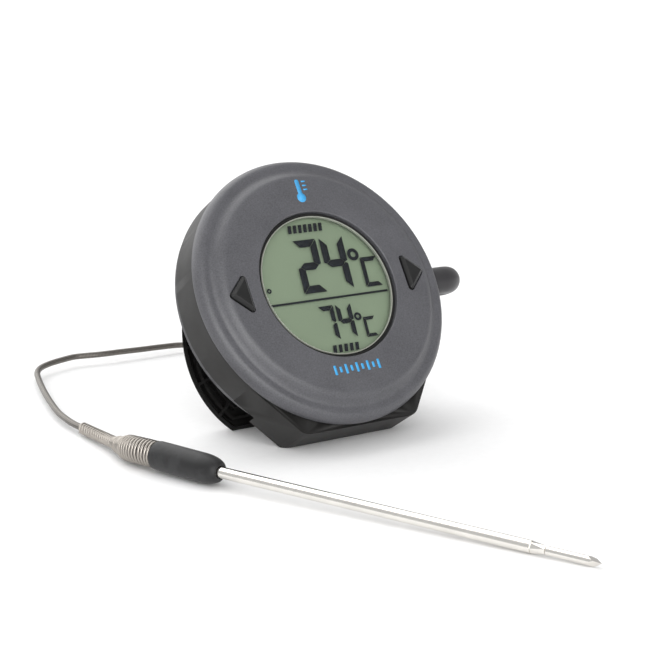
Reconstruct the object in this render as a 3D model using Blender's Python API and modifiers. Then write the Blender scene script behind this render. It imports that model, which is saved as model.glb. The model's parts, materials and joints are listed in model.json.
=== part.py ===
"""Round digital leave-in meat thermometer on a fold-out stand, with its probe, at rest on a table.

The world has +X to the right of someone reading the display, +Y behind the unit and +Z up. Its origin
is the middle of the flat land under the foot. The housing is modelled in its own tilted frame: X to the
right, Y up the face and Z out of the display, measured from the middle of the face.
"""

import math

import bmesh
import bpy
from mathutils import Matrix, Vector

# Lengths below are millimetres, and MM turns them into the scene's metres.
MM = 0.001

# How the unit stands.
TILT = math.radians(31.6)  # the face leans back this far from upright
FACE_TO_FOOT = 41.8  # up the face, from its middle to the underside of the foot
LAND_DEPTH = 19.07  # behind the face, where the flat land under the foot begins
LAND_WIDTH = 2.0

# Front shell and window.
SHELL_RADIUS = 41.5
SHELL_WALL = 1.9
SHELL_EDGE = -6.2  # the rear edge of the front shell
WINDOW_RADIUS = 22.9
LENS_RADIUS = 21.6

# Rear housing, its foot and its cover.
BAND_RADIUS = 41.2
BAND_WALL = 2.0
BAND_FRONT, BAND_REAR = -6.5, -17.7
FOOT_FRONT, FOOT_REAR = -7.0, -20.75
FOOT_HALF_WIDTH = 19.6
FOOT_CORNER = 4.5
HEEL_TOP = 31.5  # below the middle of the face, where the foot's deeper heel begins
COVER_RADIUS = 40.7
COVER_FLAT = 39.0
COVER_CHORD = 38.6  # the cover's straight lower edge
COVER_INSIDE, COVER_BACK = -19.2, -21.0

# Circuit board and battery tray.
BOARD_RADIUS = 33.0
BOARD_FRONT, BOARD_REAR = -6.0, -7.0
TRAY_MIDDLE = -4.0
TRAY_HALF = (26.7, 12.2)
TRAY_FLOOR, TRAY_RIM = -7.5, -18.9
TRAY_WALL = 1.2
POST_END = -18.9
CELL_RADIUS, CELL_LENGTH = 5.25, 44.5
CELL_PITCH = 10.8
CELL_DEPTH = -13.7
DOOR_HALF = (28.2, 13.0)
DOOR_FRONT = -19.6

# Buttons and switch.
BUTTON_TIP, BUTTON_BASE, BUTTON_HALF_HEIGHT = 34.0, 27.4, 6.2
BUTTON_CORNER = 0.7
BUTTON_PROUD = 1.1
SWITCH_AT = (5.0, 14.0)
SWITCH_TRAVEL = 3.0

# Stand and its hinge.
STAND_EDGE = ((31.9, -25.0), (32.9, -24.2), (33.6, -23.0), (34.2, -22.0), (34.5, -21.4))  # radius and depth
STAND_MIDDLE = -4.4
STAND_CHORD = 31.1
STAND_OPEN = math.radians(17.4)
HINGE = (0.0, 33.5, -23.0)
HINGE_BARREL = (12.4, 1.7)
POCKET_EDGE = ((31.9, -23.8), (34.0, -20.0))
POCKET_CHORD = 29.9
OUTER_RIB = ((31.6, 27.7), (30.7, 26.9))  # radius and chord of each side
INNER_RIB = ((28.6, 24.8), (28.0, 24.2))
RIB_BARS = 9

# Fasteners, at mirrored places.
SCREW_PLACES = ((20.0, 30.0), (-20.0, 30.0), (28.5, -22.0), (-28.5, -22.0))

# Socket and plug.
SOCKET_DEPTH = -12.0
PLUG_START = 41.8
PLUG_BEND_FROM = 48.8
PLUG_BEND = 5.0
PLUG_ARM_END = -34.0
PLUG_ARM_DROP = 1.2
PLUG_HANG = math.radians(12)  # the arm's turn about the socket
PIN_RADIUS = 1.25

# Cable, in world millimetres. It lies on the table at its own radius, a hair clear of it.
CABLE_RADIUS = 1.0
LYING = 1.02
COIL_MIDDLE = (44.0, 88.0)
COIL_RADII = (7.7, 16.3)
COIL_HEIGHT = 8.5
NEAR_ROUTE = (
    (53.6, 35.6, 16.2),
    (53.4, 40.4, 11.2),
    (53.6, 46.2, 7.0),
    (54.6, 53.2, 3.8),
    (56.4, 61.0, 1.9),
    (58.6, 69.5, 1.15),
    (60.6, 78.5, LYING),
    (61.6, 88.0, LYING),
)
FAR_ROUTE = (
    (56.3, 100.6, LYING),
    (49.6, 107.4, LYING),
    (41.5, 114.0, 1.2),
    (32.4, 119.4, 1.7),
    (18.2, 124.0, 2.6),
    (10.4, 124.5, 2.9),
    (2.1, 124.4, 3.1),
    (-6.0, 124.6, 3.3),
    (-13.9, 124.9, 3.4),
    (-19.5, 126.2, 3.4),
    (-23.4, 126.7, 3.4),
    (-28.5, 125.1, 3.4),
    (-34.2, 122.9, 3.3),
    (-39.2, 119.5, 3.2),
    (-42.9, 114.4, 3.1),
    (-46.0, 107.1, 3.0),
    (-50.7, 94.0, 2.8),
    (-55.4, 79.2, 2.6),
    (-59.0, 66.1, 2.45),
    (-60.6, 56.5, 2.35),
    (-61.0, 50.7, 2.3),
    (-60.8, 46.5, 2.28),
)

# Probe, in world millimetres.
SLEEVE_REAR = (-60.96, 0.44, 4.84)
SLEEVE_FRONT = (-54.3, -22.2, 4.25)
SLEEVE_RADIUS = 4.1
SPRING_ROUTE = (
    (-60.9, 46.2, 2.3),
    (-61.2, 40.0, 2.5),
    (-61.7, 30.0, 2.9),
    (-62.4, 22.0, 3.4),
    (-63.0, 15.0, 4.1),
    (-62.9, 9.4, 4.65),
    (-62.45, 5.9, 4.87),
    (-61.81, 3.32, 4.91),
    (-61.09, 0.9, 4.86),
)
SPRING_RADII = (1.85, 1.85, 1.85, 1.85, 1.9, 2.75, 3.85, 3.9, 3.9)
SHAFT_TIP = (-14.8, -128.0, 1.25)
SHAFT_RADIUS, TIP_RADIUS = 1.6, 1.15
SHAFT_INSERT = 8.0
TIP_LENGTHS = (94.5, 98.3, 109.4)  # along the shaft: crimp start, crimp end and point start
SWAGE_FLATS = 6

FINISHES = {
    "shell_grey": ((0.135, 0.135, 0.148), 0.45, 0.0),
    "band_charcoal": ((0.055, 0.055, 0.057), 0.6, 0.0),
    "cover_grey": ((0.11, 0.11, 0.115), 0.5, 0.0),
    "stand_black": ((0.012, 0.011, 0.011), 0.4, 0.0),
    "button_black": ((0.02, 0.02, 0.02), 0.5, 0.0),
    "trim_silver": ((0.62, 0.64, 0.6), 0.3, 0.0),
    "lens_clear": ((0.75, 0.82, 0.78), 0.05, 0.0),
    "lcd_green": ((0.24, 0.3, 0.2), 0.25, 0.0),
    "guide_white": ((0.8, 0.8, 0.78), 0.4, 0.0),
    "board_green": ((0.03, 0.16, 0.06), 0.4, 0.0),
    "rubber_dark": ((0.03, 0.03, 0.03), 0.7, 0.0),
    "part_black": ((0.02, 0.02, 0.022), 0.5, 0.0),
    "nickel": ((0.62, 0.6, 0.56), 0.25, 1.0),
    "cell_jacket": ((0.12, 0.12, 0.13), 0.3, 0.0),
    "boot_grey": ((0.085, 0.082, 0.085), 0.55, 0.0),
    "braid_steel": ((0.42, 0.4, 0.38), 0.4, 1.0),
    "polished_steel": ((0.68, 0.66, 0.63), 0.15, 1.0),
    "sleeve_black": ((0.025, 0.025, 0.027), 0.5, 0.0),
}


def clear_scene():
    for old in list(bpy.data.objects):
        bpy.data.objects.remove(old, do_unlink=True)


def new_collection(name):
    made = bpy.data.collections.new(name)
    bpy.context.scene.collection.children.link(made)
    return made


def new_materials():
    made = {}
    for name, (colour, roughness, metallic) in FINISHES.items():
        made[name] = bpy.data.materials.new(name)
        made[name].use_nodes = True
        shader = made[name].node_tree.nodes["Principled BSDF"]
        shader.inputs["Base Color"].default_value = (*colour, 1.0)
        shader.inputs["Roughness"].default_value = roughness
        shader.inputs["Metallic"].default_value = metallic
        made[name].diffuse_color = (*colour, 1.0)
    return made


class Workshop:
    """The collections, the finishes and the frame that new pieces are made in."""

    def __init__(self):
        self.parts = new_collection("meat_thermometer")
        self.cutters = new_collection("cutters")
        self.finishes = new_materials()
        self.frame = None

    def set_frame(self, name, location, rotation):
        """An empty that the next pieces are parented to."""
        self.frame = bpy.data.objects.new(name, None)
        self.frame.location = location
        self.frame.rotation_euler = rotation
        self.parts.objects.link(self.frame)
        bpy.context.view_layer.update()
        return self.frame

    def add(self, name, data, finish, origin=(0, 0, 0)):
        """A piece from mesh data in the frame's millimetres. Without a finish it is a cutter."""
        data.transform(Matrix.Scale(MM, 4) @ Matrix.Translation(-Vector(origin)))
        piece = bpy.data.objects.new(name, data)
        piece.parent = self.frame
        piece.location = Vector(origin) * MM
        if finish:
            data.materials.append(self.finishes[finish])
            self.parts.objects.link(piece)
        else:
            piece.hide_render = True
            piece.display_type = "WIRE"
            self.cutters.objects.link(piece)
        return piece


def mesh_from(build):
    """A mesh filled in by build(bm)."""
    bm = bmesh.new()
    build(bm)
    mesh = bpy.data.meshes.new("shape")
    bm.to_mesh(mesh)
    bm.free()
    return mesh


def smooth(mesh, angle=35):
    mesh.shade_smooth()
    mesh.set_sharp_from_angle(angle=math.radians(angle))


def box(low, high):
    """A box between two corners."""
    size = Vector(high) - Vector(low)
    middle = (Vector(high) + Vector(low)) / 2
    place = Matrix.Translation(middle) @ Matrix.Diagonal((*size, 1.0))
    return mesh_from(lambda bm: bmesh.ops.create_cube(bm, size=1.0, matrix=place))


def rod(start, end, radius, end_radius=None, sides=32):
    """A cylinder or a cone between two points."""
    start, end = Vector(start), Vector(end)
    along = end - start
    turn = along.to_track_quat("Z", "Y").to_matrix().to_4x4()
    place = Matrix.Translation((start + end) / 2) @ turn

    def build(bm):
        bmesh.ops.create_cone(
            bm,
            cap_ends=True,
            segments=sides,
            radius1=radius,
            radius2=radius if end_radius is None else end_radius,
            depth=along.length,
            matrix=place,
        )

    mesh = mesh_from(build)
    smooth(mesh)
    return mesh


def turned(name, profile, closed=False):
    """The profile of a turned piece, (radius, height) down its outer side. Screw turns it."""
    points = [(radius, 0.0, height) for radius, height in profile]
    edges = [(i, i + 1) for i in range(len(points) - 1)]
    if closed:
        edges.append((len(points) - 1, 0))
    mesh = bpy.data.meshes.new(name)
    mesh.from_pydata(points, edges, [])
    return mesh


def screw(piece, steps=64):
    turn = piece.modifiers.new("Turn", "SCREW")
    turn.axis = "Z"
    turn.steps = steps
    turn.render_steps = steps
    turn.use_merge_vertices = True
    turn.merge_threshold = 0.00001
    turn.use_smooth_shade = True
    return piece


def prism(outlines, low, high):
    """A flat plate between two heights, from its outline and the outlines of its holes."""
    curve = bpy.data.curves.new("outline", "CURVE")
    curve.dimensions = "2D"
    curve.fill_mode = "BOTH"
    curve.extrude = (high - low) / 2
    for outline in outlines:
        spline = curve.splines.new("POLY")
        spline.points.add(len(outline) - 1)
        for point, (x, y) in zip(spline.points, outline):
            point.co = (x, y, 0.0, 1.0)
        spline.use_cyclic_u = True
    mesh = solid_from_curve(curve)
    mesh.transform(Matrix.Translation((0, 0, (low + high) / 2)))
    return mesh


def loft(rings):
    """A closed body through rings of as many points each."""

    def build(bm):
        loops = [[bm.verts.new(point) for point in ring] for ring in rings]
        for below, above in zip(loops, loops[1:]):
            for i in range(len(below)):
                j = (i + 1) % len(below)
                bm.faces.new((below[i], below[j], above[j], above[i]))
        bm.faces.new(loops[0])
        bm.faces.new(loops[-1])
        bmesh.ops.recalc_face_normals(bm, faces=bm.faces)

    return mesh_from(build)


def solid_from_curve(curve):
    """The mesh of a curve, with its caps welded on."""
    holder = bpy.data.objects.new("curve_holder", curve)
    bpy.context.scene.collection.objects.link(holder)
    bpy.context.view_layer.update()
    mesh = bpy.data.meshes.new_from_object(holder.evaluated_get(bpy.context.evaluated_depsgraph_get()))
    bpy.data.objects.remove(holder, do_unlink=True)
    bm = bmesh.new()
    bm.from_mesh(mesh)
    bmesh.ops.remove_doubles(bm, verts=bm.verts, dist=0.0001)
    bmesh.ops.recalc_face_normals(bm, faces=bm.faces)
    bm.to_mesh(mesh)
    bm.free()
    return mesh


def tube(points, radii, resolution=2):
    """A round tube through points, with a radius for each and filled ends."""
    curve = bpy.data.curves.new("tube", "CURVE")
    curve.dimensions = "3D"
    curve.bevel_depth = 1.0
    curve.bevel_resolution = resolution
    curve.use_fill_caps = True
    spline = curve.splines.new("POLY")
    spline.points.add(len(points) - 1)
    for point, place, radius in zip(spline.points, points, radii):
        point.co = (*place, 1.0)
        point.radius = radius
    mesh = solid_from_curve(curve)
    smooth(mesh, 50)
    return mesh


def arc(middle, radius, start, end, steps):
    """Points along an arc, angles in degrees."""
    angles = [math.radians(start + (end - start) * i / steps) for i in range(steps + 1)]
    return [(middle[0] + radius * math.cos(a), middle[1] + radius * math.sin(a)) for a in angles]


def flat_disc(radius, chord, middle=0.0, steps=60):
    """A disc with a straight lower edge at y = -chord."""
    half = math.degrees(math.acos((chord + middle) / radius))
    return arc((0.0, middle), radius, -90 + half, 270 - half, steps)


def rounded_corners(corners, radii, steps=4):
    """A polygon, listed anticlockwise, with each corner rounded. A corner of radius 0 stays sharp."""
    points = []
    for i, (corner, radius) in enumerate(zip(corners, radii)):
        if not radius:
            points.append(corner)
            continue
        here = Vector(corner)
        before = (Vector(corners[i - 1]) - here).normalized()
        after = (Vector(corners[(i + 1) % len(corners)]) - here).normalized()
        half = before.angle(after) / 2
        middle = here + (before + after).normalized() * radius / math.sin(half)
        first = here + before * radius / math.tan(half) - middle
        sweep = math.pi - 2 * half
        for step in range(steps + 1):
            spoke = Matrix.Rotation(sweep * step / steps, 2) @ first
            points.append(tuple(middle + spoke))
    return points


def smooth_path(route, spacing):
    """Evenly spaced points on a smooth curve through the route's own points."""
    route = [Vector(point) for point in route]
    ends = [2 * route[0] - route[1]] + route + [2 * route[-1] - route[-2]]
    fine = []
    for a, b, c, d in zip(ends, ends[1:], ends[2:], ends[3:]):
        for step in range(24):
            t = step / 24
            fine.append(
                0.5 * (2 * b + (c - a) * t + (2 * a - 5 * b + 4 * c - d) * t**2 + (3 * b - a - 3 * c + d) * t**3)
            )
    fine.append(route[-1])
    lengths = [0.0]
    for before, after in zip(fine, fine[1:]):
        lengths.append(lengths[-1] + (after - before).length)
    count = max(2, round(lengths[-1] / spacing))
    points, at = [], 0
    for i in range(count + 1):
        want = lengths[-1] * i / count
        while at < len(lengths) - 2 and lengths[at + 1] < want:
            at += 1
        part = (want - lengths[at]) / (lengths[at + 1] - lengths[at])
        points.append(fine[at].lerp(fine[at + 1], min(1.0, part)))
    return points


def boolean(piece, other, operation="DIFFERENCE"):
    cut = piece.modifiers.new(f"{operation.title()} {other.name}", "BOOLEAN")
    cut.operation = operation
    cut.object = other
    return piece


def soften(piece, width, segments=2, angle=40):
    bevel = piece.modifiers.new("Bevel", "BEVEL")
    bevel.width = width * MM
    bevel.segments = segments
    bevel.limit_method = "ANGLE"
    bevel.angle_limit = math.radians(angle)
    bevel.use_clamp_overlap = False
    return piece


def along(point, toward, distance):
    """The point this far from one point toward another, or past it."""
    start = Vector(point)
    return start + (Vector(toward) - start).normalized() * distance


# --- Housing ---


def button_outline(side, grow=0.0):
    """The triangle of an arrow button, pointing outwards. side is 1 on the right and -1 on the left."""
    lean = math.atan2(BUTTON_HALF_HEIGHT, BUTTON_TIP - BUTTON_BASE)
    tip = BUTTON_TIP + grow / math.sin(lean)
    base = BUTTON_BASE - grow
    high = BUTTON_HALF_HEIGHT + grow / math.tan((math.pi / 2 - lean) / 2)
    corners = [(base, -high), (tip, 0.0), (base, high)]
    outline = rounded_corners(corners, [BUTTON_CORNER + grow] * 3)
    return outline if side > 0 else [(-x, y) for x, y in reversed(outline)]


def foot_outline():
    """The foot: straight sides that leave the band at a tangent, and a straight underside."""
    corner = Vector((FOOT_HALF_WIDTH, -FACE_TO_FOOT))
    touch = math.atan2(corner.y, corner.x) + math.acos(BAND_RADIUS / corner.length)
    side = (BAND_RADIUS * math.cos(touch), BAND_RADIUS * math.sin(touch))
    corners = [(-side[0], side[1]), (-corner.x, corner.y), tuple(corner), side]
    return rounded_corners(corners, [0, FOOT_CORNER, FOOT_CORNER, 0])


def build_front_shell(shop):
    outside = [
        (WINDOW_RADIUS, -0.35),
        (WINDOW_RADIUS + 0.35, 0.0),
        (32.6, 0.0),
        (34.0, -0.15),
        (35.2, -0.6),
        (36.2, -1.3),
        (37.1, -1.95),
        (38.1, -2.45),
        (39.2, -2.95),
        (40.2, -3.6),
        (41.0, -4.5),
        (SHELL_RADIUS, -5.6),
        (SHELL_RADIUS, SHELL_EDGE),
    ]
    inside = [
        (39.9, SHELL_EDGE),
        (39.6, -5.6),
        (38.4, -4.8),
        (36.6, -4.1),
        (34.8, -2.7),
        (33.6, -SHELL_WALL),
        (WINDOW_RADIUS, -SHELL_WALL),
    ]
    shell = screw(shop.add("front_shell", turned("front_shell", outside + inside, closed=True), "shell_grey"))
    for i, (x, y) in enumerate(SCREW_PLACES):
        post = shop.add(f"post_{i}", rod((x, y, -4.4), (x, y, POST_END), 2.6, sides=20), None)
        boolean(shell, post, "UNION")
        bore = shop.add(f"post_bore_{i}", rod((x, y, -9.5), (x, y, -22.0), 1.1, sides=16), None)
        boolean(shell, bore)
    for side, word in ((-1, "left"), (1, "right")):
        hole = shop.add(f"{word}_button_hole", prism([button_outline(side, 0.35)], -6.0, 3.0), None)
        boolean(shell, hole)


def build_window(shop):
    trim = [
        (LENS_RADIUS + 0.3, -0.9),
        (WINDOW_RADIUS - 0.5, -0.7),
        (WINDOW_RADIUS - 0.3, -0.9),
        (WINDOW_RADIUS - 0.3, -1.9),
        (LENS_RADIUS + 0.3, -1.9),
    ]
    screw(shop.add("window_trim", turned("window_trim", trim, closed=True), "trim_silver"))
    lens = [(0.0, -1.0), (LENS_RADIUS - 0.2, -1.0), (LENS_RADIUS, -1.2), (LENS_RADIUS, -1.9), (0.0, -1.9)]
    screw(shop.add("window_lens", turned("window_lens", lens), "lens_clear"))
    shop.add("lcd_glass", rod((0, 0, -2.2), (0, 0, -4.0), 23.6, sides=64), "lcd_green")
    shop.add("light_guide", box((-19.0, -15.5, -5.3), (19.0, 15.5, -4.3)), "guide_white")
    for word, y in (("upper", 18.6), ("lower", -18.6)):
        shop.add(f"{word}_contact_strip", box((-12.0, y - 1.0, -5.7), (12.0, y + 1.0, -4.3)), "rubber_dark")


def build_board(shop):
    board = rod((0, 0, BOARD_FRONT), (0, 0, BOARD_REAR), BOARD_RADIUS, sides=64)
    shop.add("main_board", board, "board_green")
    for word, side in (("left", -1), ("right", 1)):
        low = min(side * 27.3, side * 31.9)
        base = shop.add(f"{word}_tact_switch", box((low, -2.3, -5.7), (low + 4.6, 2.3, -4.8)), "part_black")
        stem = shop.add(f"{word}_tact_stem", rod((side * 29.6, 0, -5.2), (side * 29.6, 0, -4.35), 1.1, sides=16), None)
        boolean(base, stem, "UNION")
    shop.add("buzzer", rod((-12, 19.5, -7.3), (-12, 19.5, -10.5), 6.2, sides=32), "part_black")
    shop.add("radio_module", box((12.0, 15.5, -8.9), (24.0, 24.5, -7.3)), "nickel")


def build_buttons(shop):
    """Each button has its origin on its line of travel, at the middle of its plunger."""
    for word, side in (("left", -1), ("right", 1)):
        middle = side * 29.6
        origin = (middle, 0.0, 0.0)
        cap = prism([button_outline(side)], -2.6, BUTTON_PROUD)
        button = shop.add(f"{word}_button", cap, "button_black", origin)
        soften(button, 0.45)
        flange = shop.add(f"{word}_button_flange", rod((middle, 0, -2.2), (middle, 0, -3.0), 4.0, sides=24), None)
        plunger = shop.add(f"{word}_button_plunger", rod((middle, 0, -2.8), (middle, 0, -3.6), 1.4, sides=16), None)
        boolean(button, flange, "UNION")
        boolean(button, plunger, "UNION")


def build_rear_housing(shop, ground):
    inner = BAND_RADIUS - BAND_WALL
    profile = [
        (inner, BAND_FRONT),
        (BAND_RADIUS - 0.3, BAND_FRONT),
        (BAND_RADIUS, BAND_FRONT - 0.3),
        (BAND_RADIUS, BAND_REAR + 0.3),
        (BAND_RADIUS - 0.3, BAND_REAR),
        (inner, BAND_REAR),
    ]
    housing = screw(shop.add("rear_housing", turned("rear_housing", profile, closed=True), "band_charcoal"))
    foot = shop.add("foot_block", prism([foot_outline()], FOOT_REAR, FOOT_FRONT), None)
    boolean(housing, foot, "UNION")
    hollow = shop.add("housing_hollow", rod((0, 0, -2), (0, 0, -24), inner, sides=64), None)
    boolean(housing, hollow)
    seat = shop.add("cover_seat", prism([flat_disc(BAND_RADIUS - 0.2, COVER_CHORD + 0.3)], -24.0, BAND_REAR), None)
    boolean(housing, seat)
    heel = shop.add("heel_trim", box((-45, -HEEL_TOP, -24.0), (45, 10, BAND_REAR)), None)
    boolean(housing, heel)
    hole = shop.add("socket_hole", rod((34, 0, SOCKET_DEPTH), (46, 0, SOCKET_DEPTH), 2.1, sides=20), None)
    boolean(housing, hole)
    boolean(housing, ground)


def build_rear_cover(shop):
    profile = [
        (0.0, COVER_INSIDE),
        (COVER_RADIUS - 1.9, COVER_INSIDE),
        (COVER_RADIUS - 1.9, COVER_INSIDE + 1.2),
        (COVER_RADIUS, COVER_INSIDE + 1.2),
        (COVER_RADIUS, COVER_INSIDE - 0.1),
        (COVER_FLAT, COVER_BACK),
        (0.0, COVER_BACK),
    ]
    cover = screw(shop.add("rear_cover", turned("rear_cover", profile), "cover_grey"))
    for word, side in (("left", -1), ("right", 1)):
        ends = sorted((side * 12.8, side * 16.4))
        lug = shop.add(f"{word}_hinge_lug", box((ends[0], 31.3, -24.9), (ends[1], 35.3, -20.0)), None)
        boolean(cover, lug, "UNION")
    pin_bore = shop.add("lug_bore", rod((-20, *HINGE[1:]), (20, *HINGE[1:]), 1.2, sides=20), None)
    boolean(cover, pin_bore)
    chord = shop.add("cover_chord", box((-45, -60, -26), (45, -COVER_CHORD, -15)), None)
    boolean(cover, chord)
    x, y = DOOR_HALF
    low = (-x - 0.3, TRAY_MIDDLE - y - 0.3, -26.0)
    high = (x + 0.3, TRAY_MIDDLE + y + 0.3, -17.0)
    boolean(cover, shop.add("door_opening", box(low, high), None))
    half = 3.8
    low = (SWITCH_AT[0] - half, SWITCH_AT[1] - 1.8, -26.0)
    high = (SWITCH_AT[0] + half, SWITCH_AT[1] + 1.8, -17.0)
    boolean(cover, shop.add("switch_slot", box(low, high), None))
    for i, (x, y) in enumerate(SCREW_PLACES):
        hole = shop.add(f"screw_hole_{i}", rod((x, y, -22.0), (x, y, -17.0), 1.4, sides=20), None)
        boolean(cover, hole)
        sink = shop.add(f"screw_sink_{i}", rod((x, y, -21.3), (x, y, -19.6), 3.0, 1.3, sides=20), None)
        boolean(cover, sink)


def build_screws(shop):
    for i, (x, y) in enumerate(SCREW_PLACES):
        profile = [
            (0.0, -10.5),
            (0.8, -10.5),
            (0.8, -19.9),
            (2.2, -20.9),
            (0.0, -20.9),
        ]
        name = f"screw_{i + 1}"
        fastener = shop.add(name, turned(name, profile), "nickel")
        fastener.location = Vector((x, y, 0.0)) * MM
        screw(fastener, 20)


def build_battery_bay(shop):
    x, y = TRAY_HALF
    outer = box((-x, TRAY_MIDDLE - y, TRAY_RIM), (x, TRAY_MIDDLE + y, TRAY_FLOOR))
    tray = shop.add("battery_tray", outer, "part_black")
    x, y = x - TRAY_WALL, y - TRAY_WALL
    low, high = (-x, TRAY_MIDDLE - y, -30.0), (x, TRAY_MIDDLE + y, TRAY_FLOOR - 0.6)
    boolean(tray, shop.add("tray_hollow", box(low, high), None))
    for i, turn in enumerate((1, -1)):
        height = TRAY_MIDDLE + turn * CELL_PITCH / 2
        positive = turn * 24.4
        negative = positive - turn * CELL_LENGTH
        build_cell(shop, f"battery_{i + 1}", height, negative, positive)
        low = sorted((turn * 24.7, turn * 25.2))
        plate = box((low[0], height - 4.0, CELL_DEPTH - 4.0), (low[1], height + 4.0, CELL_DEPTH + 4.0))
        shop.add(f"battery_plate_{i + 1}", plate, "nickel")
        build_contact_spring(shop, f"battery_spring_{i + 1}", height, negative - turn * 0.6, -turn)


def build_cell(shop, name, height, negative, positive):
    """An AAA cell: its jacket with the button end."""
    sign = 1 if positive > negative else -1
    profile = [
        (0.0, CELL_LENGTH),
        (1.9, CELL_LENGTH),
        (1.9, CELL_LENGTH - 1.2),
        (CELL_RADIUS - 0.5, CELL_LENGTH - 1.2),
        (CELL_RADIUS, CELL_LENGTH - 1.7),
        (CELL_RADIUS, 0.4),
        (CELL_RADIUS - 0.4, 0.0),
        (0.0, 0.0),
    ]
    cell = shop.add(name, turned(name, profile), "cell_jacket")
    cell.location = Vector((negative, height, CELL_DEPTH)) * MM
    cell.rotation_euler = (0.0, sign * math.pi / 2, 0.0)
    screw(cell, 32)


def build_contact_spring(shop, name, height, start, direction):
    """A conical wire spring that presses on the flat end of a cell."""
    turns, reach, wire = 3.5, 4.2, 0.3
    count = round(turns * 12)
    points = []
    for i in range(count + 1):
        part = i / count
        radius = 1.7 + 2.0 * part
        angle = 2 * math.pi * turns * part
        x = start + direction * reach * part
        points.append((x, height + radius * math.cos(angle), CELL_DEPTH + radius * math.sin(angle)))
    shop.add(name, tube(points, [wire] * len(points)), "nickel")


def build_battery_door(shop):
    x, y = DOOR_HALF
    origin = (0.0, TRAY_MIDDLE, COVER_BACK)
    panel = box((-x, TRAY_MIDDLE - y, COVER_BACK), (x, TRAY_MIDDLE + y, DOOR_FRONT))
    door = shop.add("battery_door", panel, "cover_grey", origin)
    notch = shop.add("door_notch", rod((0, 6.6, -24.5), (0, 6.6, -20.5), 3.0, sides=24), None)
    boolean(door, notch)


def build_switch(shop):
    x, y = SWITCH_AT
    shop.add("power_switch", box((x - 4.8, y - 2.4, -18.5), (x + 4.8, y + 2.4, -14.5)), "part_black")
    start = x - SWITCH_TRAVEL / 2
    low, high = (start - 2.0, y - 1.5, -21.7), (start + 2.0, y + 1.5, -18.8)
    knob = shop.add("power_switch_knob", box(low, high), "part_black", (start, y, COVER_BACK))
    soften(knob, 0.25, 1)


def build_socket(shop):
    body = shop.add("probe_socket", box((30.5, -4.2, -15.9), (38.7, 4.2, -7.5)), "part_black")
    bore = shop.add("socket_bore", rod((32.0, 0, SOCKET_DEPTH), (46, 0, SOCKET_DEPTH), 1.6, sides=20), None)
    boolean(body, bore)


# --- Stand ---


def flat_bowl(edge, chord):
    """A disc about the stand's middle with a straight lower edge, whose radius changes with its depth."""
    return loft([[(x, y, depth) for x, y in flat_disc(radius, chord, STAND_MIDDLE)] for radius, depth in edge])


def build_stand(shop, ground):
    """The stand is drawn folded flat on the back, and its own rotation opens it about its hinge."""
    stand = shop.add("stand", flat_bowl(STAND_EDGE, STAND_CHORD), "stand_black", HINGE)
    hinged = [stand]

    def tool(name, mesh):
        made = shop.add(name, mesh, None, HINGE)
        hinged.append(made)
        return made

    floor = POCKET_EDGE[0][1]
    pockets = tool("stand_pockets", flat_bowl(POCKET_EDGE, POCKET_CHORD))
    outer_rib, inner_rib = ([flat_disc(*side, STAND_MIDDLE) for side in sides] for sides in (OUTER_RIB, INNER_RIB))
    boolean(pockets, tool("stand_core", prism(inner_rib[:1], -27.0, -18.0)))
    boolean(pockets, tool("stand_ring_rib", prism(outer_rib, -27.0, -18.0)))
    for i in range(RIB_BARS):
        bar = box((-40, -0.45, -27.0), (40, 0.45, -18.0))
        bar.transform(Matrix.Translation((0, STAND_MIDDLE, 0)) @ Matrix.Rotation(math.pi * i / RIB_BARS, 4, "Z"))
        boolean(pockets, tool(f"stand_rib_{i}", bar))
    boolean(stand, pockets)
    recess = tool("stand_recess", prism(inner_rib[1:], floor, -20.0))
    for i, x in enumerate((-13.0, 13.0)):
        boss = tool(f"magnet_boss_{i}", rod((x, STAND_MIDDLE, -27.0), (x, STAND_MIDDLE, -22.4), 6.4))
        boolean(recess, boss)
    boolean(stand, recess)
    for i, x in enumerate((-13.0, 13.0)):
        pocket = tool(f"magnet_pocket_{i}", rod((x, STAND_MIDDLE, -27.0), (x, STAND_MIDDLE, -22.9), 5.3))
        boolean(stand, pocket)
        magnet = rod((x, STAND_MIDDLE, -24.9), (x, STAND_MIDDLE, -23.2), 5.0)
        hinged.append(shop.add(f"stand_magnet_{i + 1}", magnet, "nickel", HINGE))
    half, radius = HINGE_BARREL
    boolean(stand, tool("stand_web", box((-half, 26.0, -24.7), (half, HINGE[1], -23.5))), "UNION")
    barrel = tool("stand_barrel", rod((-half, *HINGE[1:]), (half, *HINGE[1:]), radius, sides=24))
    boolean(stand, barrel, "UNION")
    bore = tool("stand_bore", rod((-20, *HINGE[1:]), (20, *HINGE[1:]), 1.2, sides=20))
    boolean(stand, bore)
    for piece in hinged:
        piece.rotation_euler = (STAND_OPEN, 0.0, 0.0)
    boolean(stand, ground)
    shop.add("hinge_pin", rod((-16.2, *HINGE[1:]), (16.2, *HINGE[1:]), 0.9, sides=20), "nickel")


# --- Plug, cable and probe ---


def plug_path():
    """The middle line of the right-angled plug: out of the socket, round the bend and back."""
    points = [(PLUG_START, 0.0, SOCKET_DEPTH)]
    middle = (PLUG_BEND_FROM, SOCKET_DEPTH - PLUG_BEND)
    points += [(x, 0.0, z) for x, z in arc(middle, PLUG_BEND, 90, 0, 8)]
    start = points[-1]
    reach = start[2] - PLUG_ARM_END
    for i in range(1, 7):
        part = i / 6
        points.append((start[0], -PLUG_ARM_DROP * part**2, start[2] - reach * part))
    socket = Vector((0.0, 0.0, SOCKET_DEPTH))
    hang = Matrix.Rotation(PLUG_HANG, 3, "X")
    return [tuple(socket + hang @ (Vector(point) - socket)) for point in points]


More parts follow.
